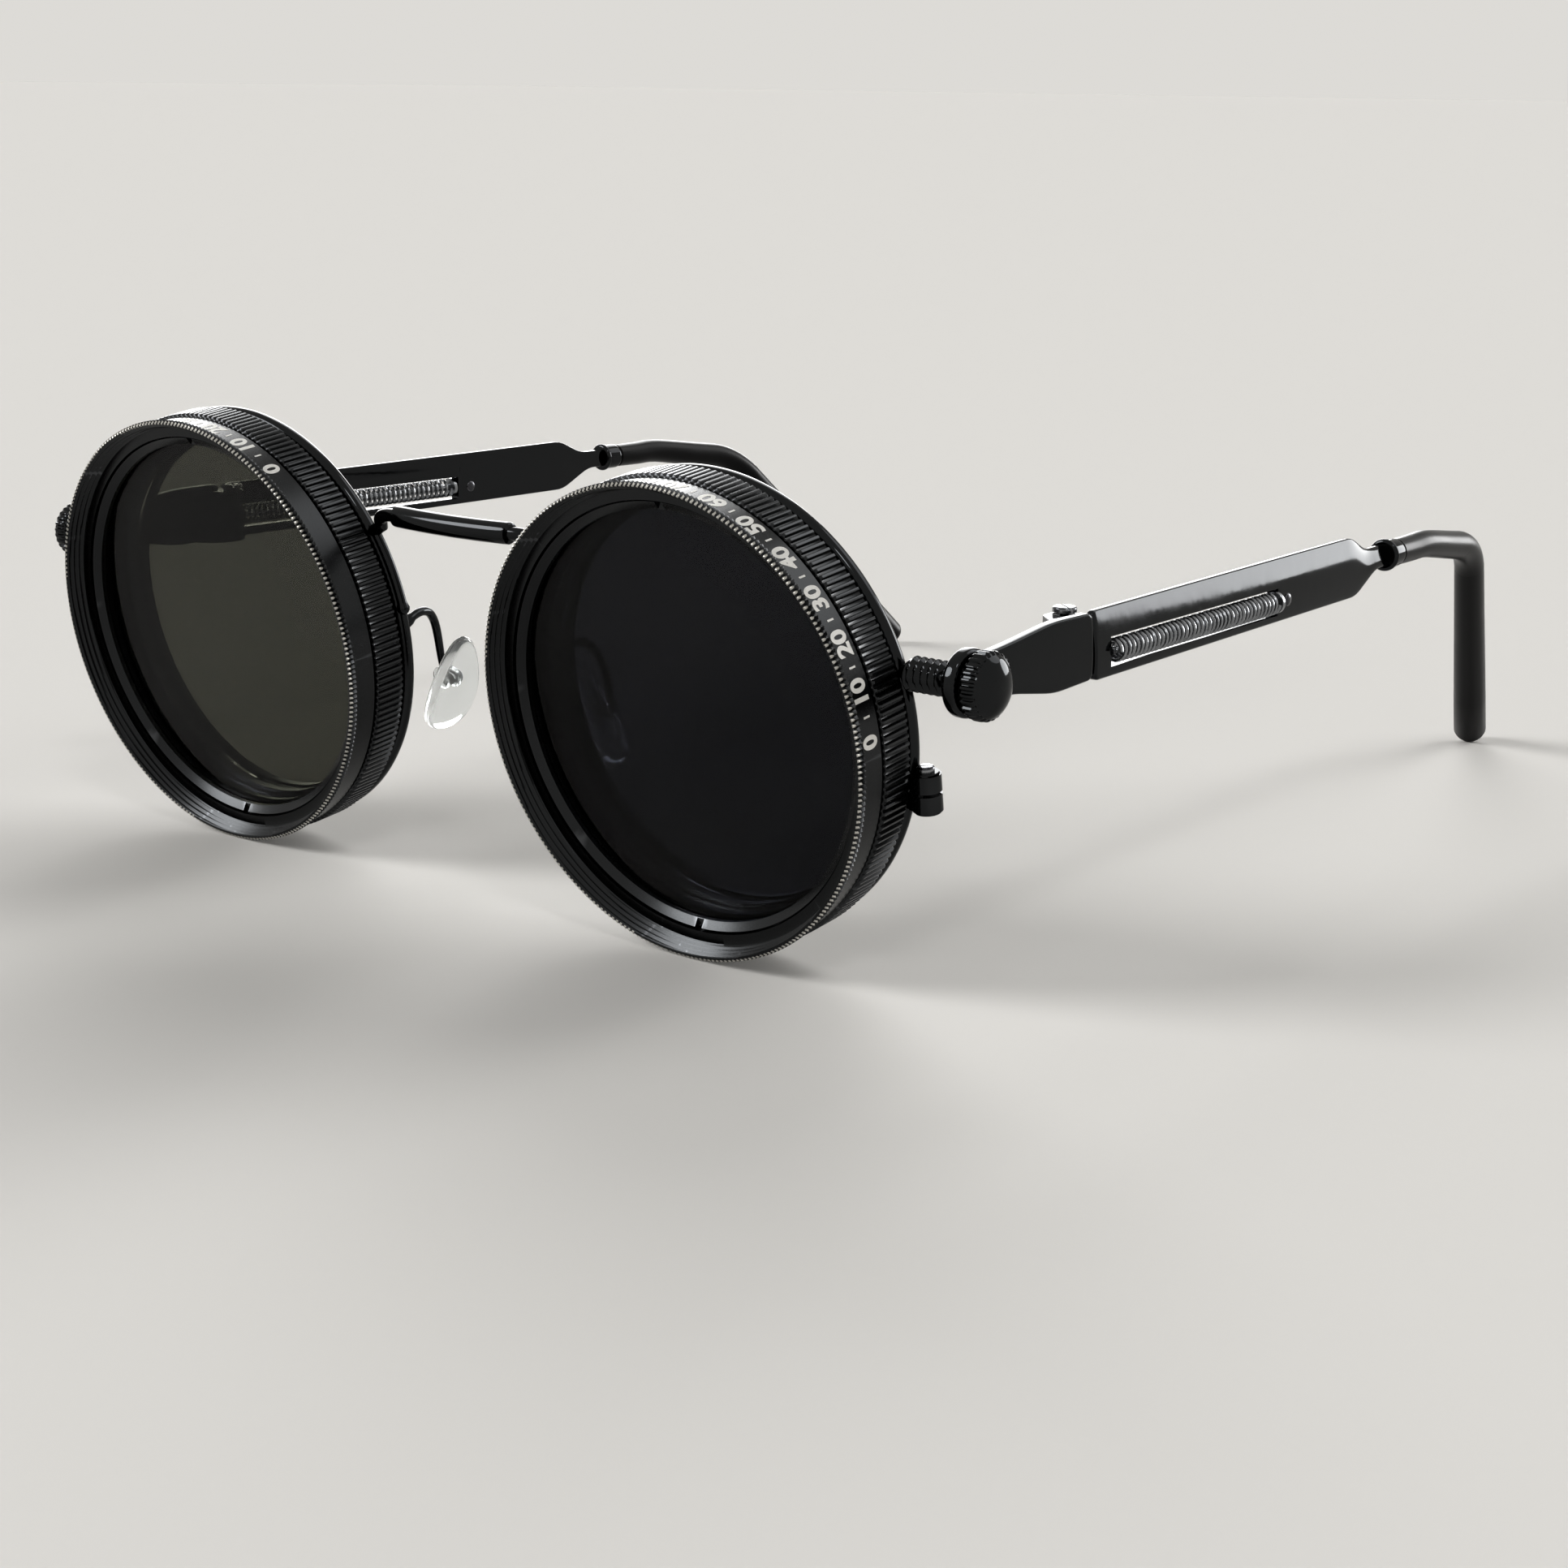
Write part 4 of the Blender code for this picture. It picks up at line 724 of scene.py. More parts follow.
def make_finishes(context):
    """Each finish by its slot in the record, and three more; made once and then shared."""
    colours = context.scene.glasses_finishes
    if FINISHES:
        return
    FINISHES.update(
        anodised_black=anodised_aluminium(colours),
        gloss_black=gloss_black_plating(colours),
        spring_steel=drawn_spring_wire(colours),
        black_screw=blackened_steel(colours),
        black_tip=moulded_sleeve(colours),
        clear_silicone=clear_silicone(colours),
        front_glass=tinted_glass("polariser_glass_grey", colours.front_glass),
        left_glass=tinted_glass("polariser_glass_dark", colours.left_glass),
        right_glass=tinted_glass("polariser_glass_olive", colours.right_glass),
        ink=printed_ink(colours),
        worn_edge=worn_edge(colours),
    )


# Filters

# Steps of one ridge: the share of its depth cut away at each
LIP_TOOTH_SHARES = (0.0, 0.55, 1.0, 0.55)
GRIP_TOOTH_SHARES = (0.0, 0.0, 0.1, 0.9, 1.0, 0.9)

# The lip's front bevel, as shares of its inset and of its depth, and of the ridges' depth
LIP_BEVEL_SHARES = ((1.0, 0.0, 0.5), (0.5, 0.25, 0.8), (0.15, 0.6, 0.95), (0.0, 1.0, 1.0))

# Walls and steps of the rings, inwards from the lip's outer radius
LIP_WIDTH = 1.0 * MM
LIP_CHAMFER = 0.12 * MM
LIP_BEVEL = 0.3 * MM
# How far in from the lip the teeth's painted highlight reaches, as a share of the lip's bevel
GLINT_REACH_SHARE = 1.5
LIP_KNURL_DEPTH = 0.32 * MM
BAND_INSET = 0.5 * MM
BAND_CHAMFER = 0.15 * MM
SKIRT_INSET = 2.0 * MM
SKIRT_DEPTH = 1.9 * MM
FRONT_THREAD_INSET = 1.3 * MM
FRONT_THREAD_DEPTH = 0.33 * MM
FRONT_THREAD_FLARE = 0.62 * MM
FRONT_THREAD_PITCH = 0.62 * MM
FRONT_THREAD_LENGTH = 2.3 * MM
FRONT_LENS_INSET = 2.6 * MM
FRONT_LENS_THICKNESS = 1.4 * MM
FRONT_FLANGE_INSET = 3.8 * MM
FRONT_FLANGE_THICKNESS = 0.7 * MM
CLAMP_RING_INSET = 3.6 * MM
CLAMP_RING_THICKNESS = 1.2 * MM
CLAMP_RING_SLOPE = 0.9 * MM
CLAMP_RING_FALL = 0.58 * MM
CLAMP_SLOT_WIDTH = 1.0 * MM
CLAMP_SLOT_DEPTH = 0.6 * MM
GRIP_INSET = 0.1 * MM
GRIP_RIDGE_DEPTH = 0.38 * MM
GRIP_EDGE = 0.25 * MM
FUNNEL_INSET = 3.6 * MM
VIEW_INSET = 4.2 * MM
VIEW_FLANGE = 0.6 * MM
FUNNEL_STEPS = 2
FUNNEL_GROOVE = 0.36 * MM
SPIGOT_INSET = 2.6 * MM
SPIGOT_DEPTH = 3.0 * MM
REAR_LENS_INSET = 3.9 * MM
REAR_LENS_THICKNESS = 1.2 * MM
REAR_RING_INSET = 4.3 * MM
REAR_RING_THICKNESS = 1.0 * MM
LENS_CHAMFER = 0.12 * MM
RING_EDGE = 0.06 * MM

# Printed dial on the band
NUMERAL_STEP_DEGREES = 11.5
NUMERAL_COUNT = 9
NUMERAL_VALUE_STEP = 10
NUMERAL_START_DEGREES = {"left": 4.0, "right": 56.0}
NUMERAL_SIZE_SHARE = 1.42
NUMERAL_BOLD = 0.11 * MM
NUMERAL_CURVE_STEPS = 6
INK_THICKNESS = 0.03 * MM
MARK_WIDTH = 0.22 * MM
MARK_HEIGHT_SHARE = 0.45


def skirt_end(sizes):
    return sizes.ring_depth + SKIRT_DEPTH


def front_lens_back(sizes):
    return skirt_end(sizes) - FRONT_FLANGE_THICKNESS - FIT_GAP


def base_front(sizes):
    return sizes.ring_depth + sizes.running_gap


def base_back(sizes):
    return base_front(sizes) + sizes.base_depth


def turning_ring_mesh(sizes):
    """Knurled lip, smooth band, hidden skirt, and the fine thread in front of the glass."""
    lip = sizes.lip_radius
    band = lip - BAND_INSET
    skirt = lip - SKIRT_INSET
    flange = lip - FRONT_FLANGE_INSET
    thread = lip - FRONT_THREAD_INSET
    pocket = lip - FRONT_LENS_INSET + FIT_GAP
    seat = front_lens_back(sizes) + FIT_GAP
    end = skirt_end(sizes)
    steps = sizes.lip_teeth * len(LIP_TOOTH_SHARES)
    profile = [(thread + FRONT_THREAD_DEPTH + FRONT_THREAD_FLARE, 0.0)]
    for inset, back, ridge in LIP_BEVEL_SHARES:
        profile.append((lip - LIP_BEVEL * inset, LIP_BEVEL * back, LIP_KNURL_DEPTH * ridge))
    profile += [
        (lip, LIP_WIDTH - LIP_CHAMFER, LIP_KNURL_DEPTH),
        (lip - LIP_CHAMFER, LIP_WIDTH, LIP_KNURL_DEPTH / 2),
        (band, LIP_WIDTH + LIP_CHAMFER / 2),
        (band, sizes.ring_depth - BAND_CHAMFER),
        (band - BAND_CHAMFER, sizes.ring_depth),
        (skirt, sizes.ring_depth),
        (skirt, end),
        (flange, end),
        (flange, seat),
        (pocket, seat),
        (pocket, FRONT_THREAD_LENGTH),
        (thread, FRONT_THREAD_LENGTH),
    ]
    profile += thread_rows(
        thread + FRONT_THREAD_DEPTH,
        FRONT_THREAD_DEPTH,
        FRONT_THREAD_PITCH,
        FRONT_THREAD_LENGTH - LIP_CHAMFER,
        LIP_CHAMFER / 2,
        steps,
        FRONT_THREAD_FLARE,
    )
    ring = turned(profile, steps, LIP_TOOTH_SHARES)
    # Faces on the front bevel of each tooth take material 1, a pale colour painted on as a
    # highlight for the teeth's glints; worn is how far in it reaches
    worn = lip - LIP_BEVEL * GLINT_REACH_SHARE
    for face in ring.polygons:
        across, up, along = face.center
        on_tooth = math.cos(sizes.lip_teeth * math.atan2(up, across)) > 0
        if on_tooth and along < LIP_BEVEL and math.hypot(across, up) > worn:
            face.material_index = 1
    return ring


def lens_mesh(radius, front, thickness):
    """A flat pane with ground edges."""
    return capped(disc_rows(0.0, radius, front, front + thickness, LENS_CHAMFER), RING_STEPS)


def clamp_ring_mesh(sizes):
    """The ring that holds the front glass, with two slots for a spanner."""
    outer = sizes.lip_radius - FRONT_LENS_INSET
    inner = sizes.lip_radius - CLAMP_RING_INSET
    back = front_lens_back(sizes) - FRONT_LENS_THICKNESS - FIT_GAP
    front = back - CLAMP_RING_THICKNESS
    profile = [
        (outer, back),
        (outer, front + RING_EDGE),
        (outer - RING_EDGE, front),
        (inner + CLAMP_RING_SLOPE, front),
        (inner + RING_EDGE, front + CLAMP_RING_FALL),
        (inner, front + CLAMP_RING_FALL + RING_EDGE),
        (inner, back),
    ]
    slots = block((CLAMP_SLOT_WIDTH, 2 * outer + CUT_OVERRUN, 2 * CLAMP_SLOT_DEPTH))
    return carved(turned(profile, RING_STEPS), shifted(slots, z=front))


def base_ring_mesh(sizes):
    """Grip of straight ridges, rear spigot, and the stepped funnel between the panes."""
    lip = sizes.lip_radius
    front, back = base_front(sizes), base_back(sizes)
    grip = lip - GRIP_INSET
    foot = grip - GRIP_RIDGE_DEPTH - GRIP_EDGE / 3
    recess = lip - SKIRT_INSET + sizes.running_gap
    step = skirt_end(sizes) + sizes.running_gap
    pocket = lip - REAR_LENS_INSET + FIT_GAP
    spigot = lip - SPIGOT_INSET
    low, high = lip - VIEW_INSET, lip - FUNNEL_INSET
    deep = back - VIEW_FLANGE
    profile = [
        (recess, front),
        (foot, front),
        (grip - GRIP_EDGE / 2, front + GRIP_EDGE / 2, GRIP_RIDGE_DEPTH / 2),
        (grip, front + GRIP_EDGE, GRIP_RIDGE_DEPTH),
        (grip, back - GRIP_EDGE, GRIP_RIDGE_DEPTH),
        (grip - GRIP_EDGE / 2, back - GRIP_EDGE / 2, GRIP_RIDGE_DEPTH / 2),
        (foot, back),
        (spigot, back),
        (spigot, back + SPIGOT_DEPTH),
        (pocket, back + SPIGOT_DEPTH),
        (pocket, back),
        (low, back),
        (low, deep),
    ]
    for index in range(1, FUNNEL_STEPS + 1):
        share = index / FUNNEL_STEPS
        radius = low + (high - low) * share
        height = deep + (step - deep) * share
        profile += [(radius - FUNNEL_GROOVE, height + FUNNEL_GROOVE), (radius, height)]
    profile.append((recess, step))
    return turned(profile, sizes.grip_teeth * len(GRIP_TOOTH_SHARES), GRIP_TOOTH_SHARES)


def rear_ring_mesh(sizes):
    outer = sizes.lip_radius - REAR_LENS_INSET
    inner = sizes.lip_radius - REAR_RING_INSET
    front = base_back(sizes) + REAR_LENS_THICKNESS + 2 * FIT_GAP
    back = front + REAR_RING_THICKNESS
    profile = [
        (outer, front),
        (inner, front),
        (inner, back - RING_EDGE),
        (inner + RING_EDGE, back),
        (outer - RING_EDGE, back),
        (outer, back - RING_EDGE),
    ]
    return turned(profile, RING_STEPS)


def flat_numeral(number, height):
    """A number as a thin solid in its own XY plane."""
    curve = bpy.data.curves.new("numeral", "FONT")
    curve.body = str(number)
    curve.size = height * NUMERAL_SIZE_SHARE
    curve.align_x = "CENTER"
    curve.align_y = "CENTER"
    curve.resolution_u = NUMERAL_CURVE_STEPS
    curve.offset = NUMERAL_BOLD
    curve.extrude = INK_THICKNESS / 2
    words = bpy.data.objects.new("numeral", curve)
    bpy.context.scene.collection.objects.link(words)
    bpy.context.view_layer.update()
    graph = bpy.context.evaluated_depsgraph_get()
    mesh = bpy.data.meshes.new_from_object(words.evaluated_get(graph))
    bpy.data.objects.remove(words, do_unlink=True)
    bpy.data.curves.remove(curve)
    return mesh


def wrapped_print(sizes, label):
    """Plain dial numbers with a mark between each two, laid round the smooth band."""
    radius = sizes.lip_radius - BAND_INSET
    middle = (LIP_WIDTH + sizes.ring_depth) / 2
    mark = (MARK_WIDTH, sizes.numeral_height * MARK_HEIGHT_SHARE, INK_THICKNESS)
    meshes = []
    for index in range(2 * NUMERAL_COUNT - 1):
        number, on_mark = divmod(index, 2)
        angle = NUMERAL_START_DEGREES[label] + index / 2 * NUMERAL_STEP_DEGREES
        if on_mark:
            mesh = block(mark)
        else:
            mesh = flat_numeral(number * NUMERAL_VALUE_STEP, sizes.numeral_height)
        for vertex in mesh.vertices:
            u, v, w = vertex.co
            turn = math.radians(angle) + u / radius
            reach = radius + INK_THICKNESS / 2 + w
            vertex.co = (reach * math.cos(turn), middle - v, reach * math.sin(turn))
        meshes.append(mesh)
    return merged(meshes)


class GLASSES_OT_build_filters(bpy.types.Operator):
    """Build the turning rings, panes, clamp rings, base rings and their printed dials."""

    bl_idname = "glasses.build_filters"
    bl_label = "Build filters"

    def execute(self, context):
        make_finishes(context)
        sizes = context.scene.glasses_filter
        black = "anodised_black"
        front_edge = front_lens_back(sizes) - FRONT_LENS_THICKNESS
        rear_edge = base_back(sizes) + FIT_GAP
        for label, _ in SIDES:
            ring = turning_ring_mesh(sizes)
            front = lens_mesh(
                sizes.lip_radius - FRONT_LENS_INSET, front_edge, FRONT_LENS_THICKNESS
            )
            rear = lens_mesh(sizes.lip_radius - REAR_LENS_INSET, rear_edge, REAR_LENS_THICKNESS)
            clamp, base = clamp_ring_mesh(sizes), base_ring_mesh(sizes)
            turning, glass = f"{label}_turning", f"{label}_glass"
            rear_ring, axis = rear_ring_mesh(sizes), lathe_frame(label)
            place_side(
                label,
                ("knurled_front_ring", ring, axis, turning, black, "turning_ring"),
                ("front_pane", front, axis, turning, "front_glass", "front_glass", glass),
                ("clamp_ring", clamp, axis, turning, black, "front_retainer"),
                ("knurled_base_ring", base, axis, "front", black, "filter_base"),
                ("rear_pane", rear, axis, "front", glass, "rear_glass"),
                ("rear_clip_ring", rear_ring, axis, "front", black, "rear_retainer"),
            )
            # The ring's second finish is the painted highlight on the front of its teeth
            ring.materials.append(FINISHES["worn_edge"])
            dial = wrapped_print(sizes, label)
            place_piece(f"{label}_dial_numbers", dial, lens_frame(label), turning, "ink")
        return {"FINISHED"}


# Eyewires

RIM_STANDOFF = 0.6 * MM
RIM_WALL = 2.05 * MM
RIM_CROWN = 0.6 * MM
RIM_BACK_EDGE = 0.15 * MM
RIM_ARC = (-80, 80, 10)
BLOCK_RADIUS = 1.65 * MM
BLOCK_REACH = 1.5 * MM
BLOCK_HEIGHT = 4.6 * MM
BLOCK_DROP = 5.9 * MM
BLOCK_SLIT = 0.35 * MM
BLOCK_EDGE = 0.25 * MM
BLOCK_WEB_DEGREES = 150.0
BLOCK_WEB_STEP = 0.1 * MM
BLOCK_SCREW_RADIUS = 0.45 * MM
BLOCK_SCREW_HEAD = 0.95 * MM
BLOCK_STEPS = 24
FOOT_STRIP_RADIUS = 0.62 * MM
FOOT_STRIP_END_DEGREES = 173.0
FOOT_STRIP_STEPS = 14
FOOT_STRIP_SMOOTH = 3
FOOT_NUB_RADIUS = 0.85 * MM


def rim_bore(filters):
    return filters.lip_radius - SPIGOT_INSET + FIT_GAP


def rim_radius(filters):
    return rim_bore(filters) + RIM_WALL


def rim_front(filters):
    return base_back(filters) + RIM_STANDOFF


def rim_middle(filters, sizes):
    return rim_front(filters) + sizes.rim_width / 2


def rim_mesh(filters, sizes):
    """A wire rim of D section, rounded outside and flat against the filter's spigot."""
    bore = rim_bore(filters)
    outer = rim_radius(filters) - RIM_CROWN
    half = sizes.rim_width / 2
    middle = rim_middle(filters, sizes)
    profile = [(bore, middle - half), (outer, middle - half)]
    profile += arc_rows(outer, middle, RIM_CROWN, half, *RIM_ARC)
    profile += [(outer, middle + half), (bore + RIM_BACK_EDGE, middle + half)]
    profile += [(bore, middle + half - RIM_BACK_EDGE)]
    return turned(profile, RING_STEPS)


def closing_block_mesh(sizes, side):
    """The split block that closes the rim: a barrel on a web, cut through by the slit."""
    half = sizes.rim_width / 2 - BLOCK_WEB_STEP
    web = BLOCK_WEB_DEGREES
    outline = arc_rows(0.0, 0.0, BLOCK_RADIUS, BLOCK_RADIUS, -web, web, BLOCK_STEPS)
    root = -BLOCK_REACH - BLOCK_RADIUS / 2
    outline += [(root, half), (root, -half)]
    barrel = prism([(side * u, v) for u, v in outline], BLOCK_HEIGHT, BLOCK_EDGE)
    return carved(barrel, block((4 * BLOCK_RADIUS + CUT_OVERRUN, 4 * BLOCK_RADIUS, BLOCK_SLIT)))


class GLASSES_OT_build_rims(bpy.types.Operator):
    """Build the eyewires, their closing blocks and the closing screws."""

    bl_idname = "glasses.build_rims"
    bl_label = "Build eyewires"

    def execute(self, context):
        make_finishes(context)
        filters = context.scene.glasses_filter
        sizes = context.scene.glasses_front
        reach = math.sqrt(rim_radius(filters) ** 2 - BLOCK_DROP**2) + BLOCK_REACH
        upright = Matrix.Rotation(math.pi / 2, 4, "X")
        top = Matrix.Translation((0.0, 0.0, BLOCK_HEIGHT / 2))
        skew = Matrix.Rotation(SCREW_SKEW, 4, "Z")
        shank = BLOCK_HEIGHT + BLOCK_SCREW_RADIUS
        for label, side in SIDES:
            spot = (side * reach, rim_middle(filters, sizes), -BLOCK_DROP)
            spot = Matrix.Translation(spot)
            closing = moved(closing_block_mesh(sizes, side), upright @ spot)
            rim = merged([rim_mesh(filters, sizes), closing])
            screw = slotted_screw(
                BLOCK_SCREW_RADIUS, BLOCK_SCREW_HEAD, SCREW_HEAD_HEIGHT, shank, SCREW_SLOT
            )
            screw_place = lens_frame(label) @ spot @ top @ skew
            place_side(
                label,
                ("wire_rim", rim, lathe_frame(label), "front", "gloss_black", "eyewire"),
                ("rim_screw", screw, screw_place, "front", "black_screw", "closing_screw"),
            )
        return {"FINISHED"}


# Bridge

BRIDGE_HALF_BAR = 9.3 * MM
BRIDGE_RISE = 2.7 * MM
BRIDGE_DEPTH = 8.7 * MM
BRIDGE_BOW = 0.5 * MM
BRIDGE_FOOT_DEGREES = 149.9
BRIDGE_FOOT_RUN = 1.5 * MM
BRIDGE_SHOULDER = 0.35 * MM
BRIDGE_TURN_STEPS = 10
BRIDGE_BAR_SHARES = (0.0, 0.25, 0.5, 0.75, 0.96)
BRIDGE_SHOULDER_SHARES = (0.3, 0.6, 0.85, 1.0)


def bridge_path(filters, sizes):
    """Half of the bridge, from its middle to the foot on the eyewire, with its radii."""
    turn = math.radians(BRIDGE_FOOT_DEGREES)
    outward = Vector((math.cos(turn), 0.0, math.sin(turn)))
    centre = joint_place("left_filter_turn").x
    rim = Vector((centre, rim_middle(filters, sizes), 0.0))
    reach = rim_radius(filters)
    height = (reach + FIT_GAP) * math.sin(turn) + BRIDGE_RISE
    foot = rim + outward * (reach - RIM_CROWN / 2)
    knee = rim + outward * (reach + FIT_GAP + BRIDGE_FOOT_RUN)
    bar, neck = sizes.bridge_radius, sizes.bridge_neck
    points, radii = [], []
    for share in BRIDGE_BAR_SHARES:
        bow = BRIDGE_BOW * (1 - share * share)
        points.append(Vector((BRIDGE_HALF_BAR * share, BRIDGE_DEPTH - bow, height)))
        radii.append(bar)
    for share in BRIDGE_SHOULDER_SHARES:
        out = BRIDGE_HALF_BAR + BRIDGE_SHOULDER * share - BRIDGE_SHOULDER / 2
        points.append(Vector((out, BRIDGE_DEPTH, height)))
        radii.append(neck + (bar - neck) * math.sqrt(max(0.0, 1 - share * share)))
    start = points[-1]
    corner = Vector((knee.x, (start.y + knee.y) / 2, height))
    for step in range(1, BRIDGE_TURN_STEPS + 1):
        t = step / BRIDGE_TURN_STEPS
        points.append(start.lerp(corner, t).lerp(corner.lerp(knee, t), t))
    points.append(foot)
    return points, radii + [neck] * (len(points) - len(radii))


def foot_strip_mesh(filters, sizes, side):
    """The soldered strip that runs from the bridge's foot down the eyewire, with its nub."""
    centre = side * joint_place("left_filter_turn").x
    middle = rim_middle(filters, sizes)
    reach = rim_radius(filters)
    turns = (BRIDGE_FOOT_DEGREES, FOOT_STRIP_END_DEGREES, FOOT_STRIP_STEPS)
    arc = arc_rows(0.0, 0.0, reach, reach, *turns)
    points = [Vector((centre + side * out, middle, up)) for out, up in arc]
    radii = [FOOT_STRIP_RADIUS] * (len(points) - 2) + [FOOT_NUB_RADIUS] * 2
    return swept(*rounded_ends(*smooth_path(points, radii, FOOT_STRIP_SMOOTH)))


class GLASSES_OT_build_bridge(bpy.types.Operator):
    """Build the bridge bar with its necks and the strips soldered to the eyewires."""

    bl_idname = "glasses.build_bridge"
    bl_label = "Build bridge"

    def execute(self, context):
        make_finishes(context)
        filters = context.scene.glasses_filter
        sizes = context.scene.glasses_front
        points, radii = bridge_path(filters, sizes)
        mirrored = [Vector((-p.x, p.y, p.z)) for p in reversed(points[1:])]
        bar = swept(mirrored + points, radii[:0:-1] + radii, BAR_SIDES)
        mesh = merged([bar] + [foot_strip_mesh(filters, sizes, side) for _, side in SIDES])
        place_piece("nose_bridge", mesh, front_frame(), "front", "gloss_black", "bridge")
        return {"FINISHED"}


# Side studs and thumb nuts

STUD_HEIGHT = 7.0 * MM
STUD_EXPOSED = 7.0 * MM
STUD_BITE = 2.0 * MM
STUD_THREAD_DEPTH = 0.42 * MM
STUD_NECK_RADIUS = 0.84 * MM
STUD_START = 0.65 * MM
EYE_THICKNESS = 1.7 * MM
NUT_LENGTH = 3.45 * MM
NUT_WAIST = 0.8 * MM
NUT_BAND_END = 1.6 * MM
NUT_KNURL_START = 0.25 * MM
NUT_KNURL_END = 2.3 * MM
NUT_BACK_REACH = 1.35 * MM
NUT_RIDGE_DEPTH = 0.27 * MM
NUT_TOOTH_SHARES = (0.0, 0.12, 0.9, 1.0, 0.9, 0.12)
NUT_BACK_STEPS = 4
NUT_KNURL_STEPS = 14
DOME_STEPS = 16
DOME_START_SHARE = 0.97


def stud_reach(filters):
    """How far out of the lens axis the stud leaves the eyewire."""
    return math.sqrt(rim_radius(filters) ** 2 - STUD_HEIGHT**2)


def stud_mesh(filters, sizes):
    """The threaded stud, from its neck on the eyewire to its end in the nut."""
    start = stud_reach(filters) + STUD_START
    end = stud_reach(filters) + STUD_EXPOSED + EYE_THICKNESS + FIT_GAP + STUD_BITE
    edge = STUD_THREAD_DEPTH
    outer = sizes.stud_radius
    root = outer - edge
    neck = start - STUD_START - RIM_CROWN
    profile = [(0.0, neck), (STUD_NECK_RADIUS, neck), (STUD_NECK_RADIUS, start), (root, start)]
    profile += thread_rows(outer, edge, sizes.stud_pitch, start + edge / 2, end - edge, BOSS_STEPS)
    profile += [(root - edge / 2, end), (0.0, end)]
    return capped(profile, BOSS_STEPS)


def nut_mesh(sizes):
    """A thumb nut: a small ball whose waist is cut with straight ridges, with a polished dome."""
    bore = sizes.stud_radius + FIT_GAP
    bore_end = STUD_BITE + FIT_GAP
    profile = [(0.0, bore_end), (bore, bore_end), (bore, 0.0)]
    dome = NUT_LENGTH - NUT_KNURL_END
    heights = np.concatenate(
        (
            np.linspace(0.0, NUT_KNURL_START, NUT_BACK_STEPS),
            np.linspace(NUT_KNURL_START, NUT_KNURL_END, NUT_KNURL_STEPS)[1:],
            NUT_LENGTH - dome * np.linspace(DOME_START_SHARE, 0.0, DOME_STEPS) ** 2,
        )
    )
    for height in heights:
        front = max(0.0, height - NUT_BAND_END) / (NUT_LENGTH - NUT_BAND_END)
        back = max(0.0, NUT_WAIST - height) / NUT_BACK_REACH
        share = math.sqrt(max(0.0, 1 - front**2 - back**2))
        cut = NUT_KNURL_START < height < NUT_KNURL_END
        radius = sizes.nut_radius * share - (0.0 if cut else NUT_RIDGE_DEPTH / 2 * share)
        profile.append((radius, height, NUT_RIDGE_DEPTH if cut else 0.0))
    profile[-1] = (0.0, NUT_LENGTH)
    return capped(profile, sizes.nut_ridges * len(NUT_TOOTH_SHARES), NUT_TOOTH_SHARES)


class GLASSES_OT_build_studs(bpy.types.Operator):
    """Build the threaded studs on the eyewires and the domed thumb nuts on them."""

    bl_idname = "glasses.build_studs"
    bl_label = "Build studs and nuts"

    def execute(self, context):
        make_finishes(context)
        filters = context.scene.glasses_filter
        sizes = context.scene.glasses_front
        base = Matrix.Translation((0.0, rim_middle(filters, sizes), STUD_HEIGHT))
        nut_face = stud_reach(filters) + STUD_EXPOSED + EYE_THICKNESS + FIT_GAP
        for label, side in SIDES:
            axis = lens_frame(label) @ base @ facing_side(side)
            out = axis @ Matrix.Translation((0.0, 0.0, nut_face))
            stud, nut = stud_mesh(filters, sizes), nut_mesh(sizes)
            place_side(
                label,
                ("threaded_stud", stud, axis, "front", "gloss_black", "side_stud"),
                ("thumb_nut", nut, out, "front", "gloss_black", "dome_nut"),
            )
        return {"FINISHED"}


# End pieces and hinges

PLATE_EDGE = 0.28 * MM
HINGE_OFFSET = 2.5 * MM
HINGE_BACK = 22.25 * MM
HINGE_RISE = 0.3 * MM
HINGE_BARREL = 1.4 * MM
HINGE_HEIGHT = 7.0 * MM
HINGE_MIDDLE_SHARE = 0.36
HINGE_BUTT_GAP = 0.3 * MM
HINGE_EDGE = 0.15 * MM
HINGE_LEAF = 5.0 * MM
HINGE_LEAF_SHORT = 2.0 * MM
HINGE_SCREW_RADIUS = 0.55 * MM
HINGE_SCREW_HEAD = 1.35 * MM
EYE_RADIUS = 3.65 * MM
EYE_EDGE = 0.55 * MM
EYE_FRONT_ARC = (-80, 0, 4)
EYE_BACK_ARC = (0, 90, 5)
END_CORNER = 0.9 * MM
END_CROWN = 0.3 * MM
END_SMOOTH = 3.0 * MM
FACE_POINTS = 14
CORNER_POINTS = 4
STATION_STEP = 0.8 * MM
LEAST_STATIONS = 4
EDGE_SAMPLES = 9
EDGE_MOST_SHARE = 0.9
CROWN_HEIGHT_SHARE = 0.25
CORNER_STATIONS = (0.04, 0.12, 0.25, 0.42, 0.65, 0.85, 1.0)
END_THIN_SHARE = 0.8

# A hinge leaf where it wraps its barrel, as shares of the barrel's radius
LEAF_ROOT_SHARE = 0.95
LEAF_FLANK_SHARE = -0.8
LEAF_WRAP_SHARES = ((-0.9, 0.4), (0.6, 0.7))

# Top and bottom edges of the end piece, as (place back from the hinge, height)
END_TOP = ((-22.25, 2.1), (-15.1, 2.9), (-7.3, 4.0), (0.0, 4.0))
END_BOTTOM = ((-22.25, -2.7), (-15.1, -2.55), (-7.3, -3.75), (0.0, -3.3))


def edge_line(table, places, smooth):
    """The height of an edge at each place, with its corners rounded over a length."""
    along, height = np.array(table).T * MM
    total = np.zeros(len(places))
    for shift in np.linspace(-smooth / 2, smooth / 2, EDGE_SAMPLES):
        total += np.interp(np.asarray(places) + shift, along, height)
    return total / EDGE_SAMPLES


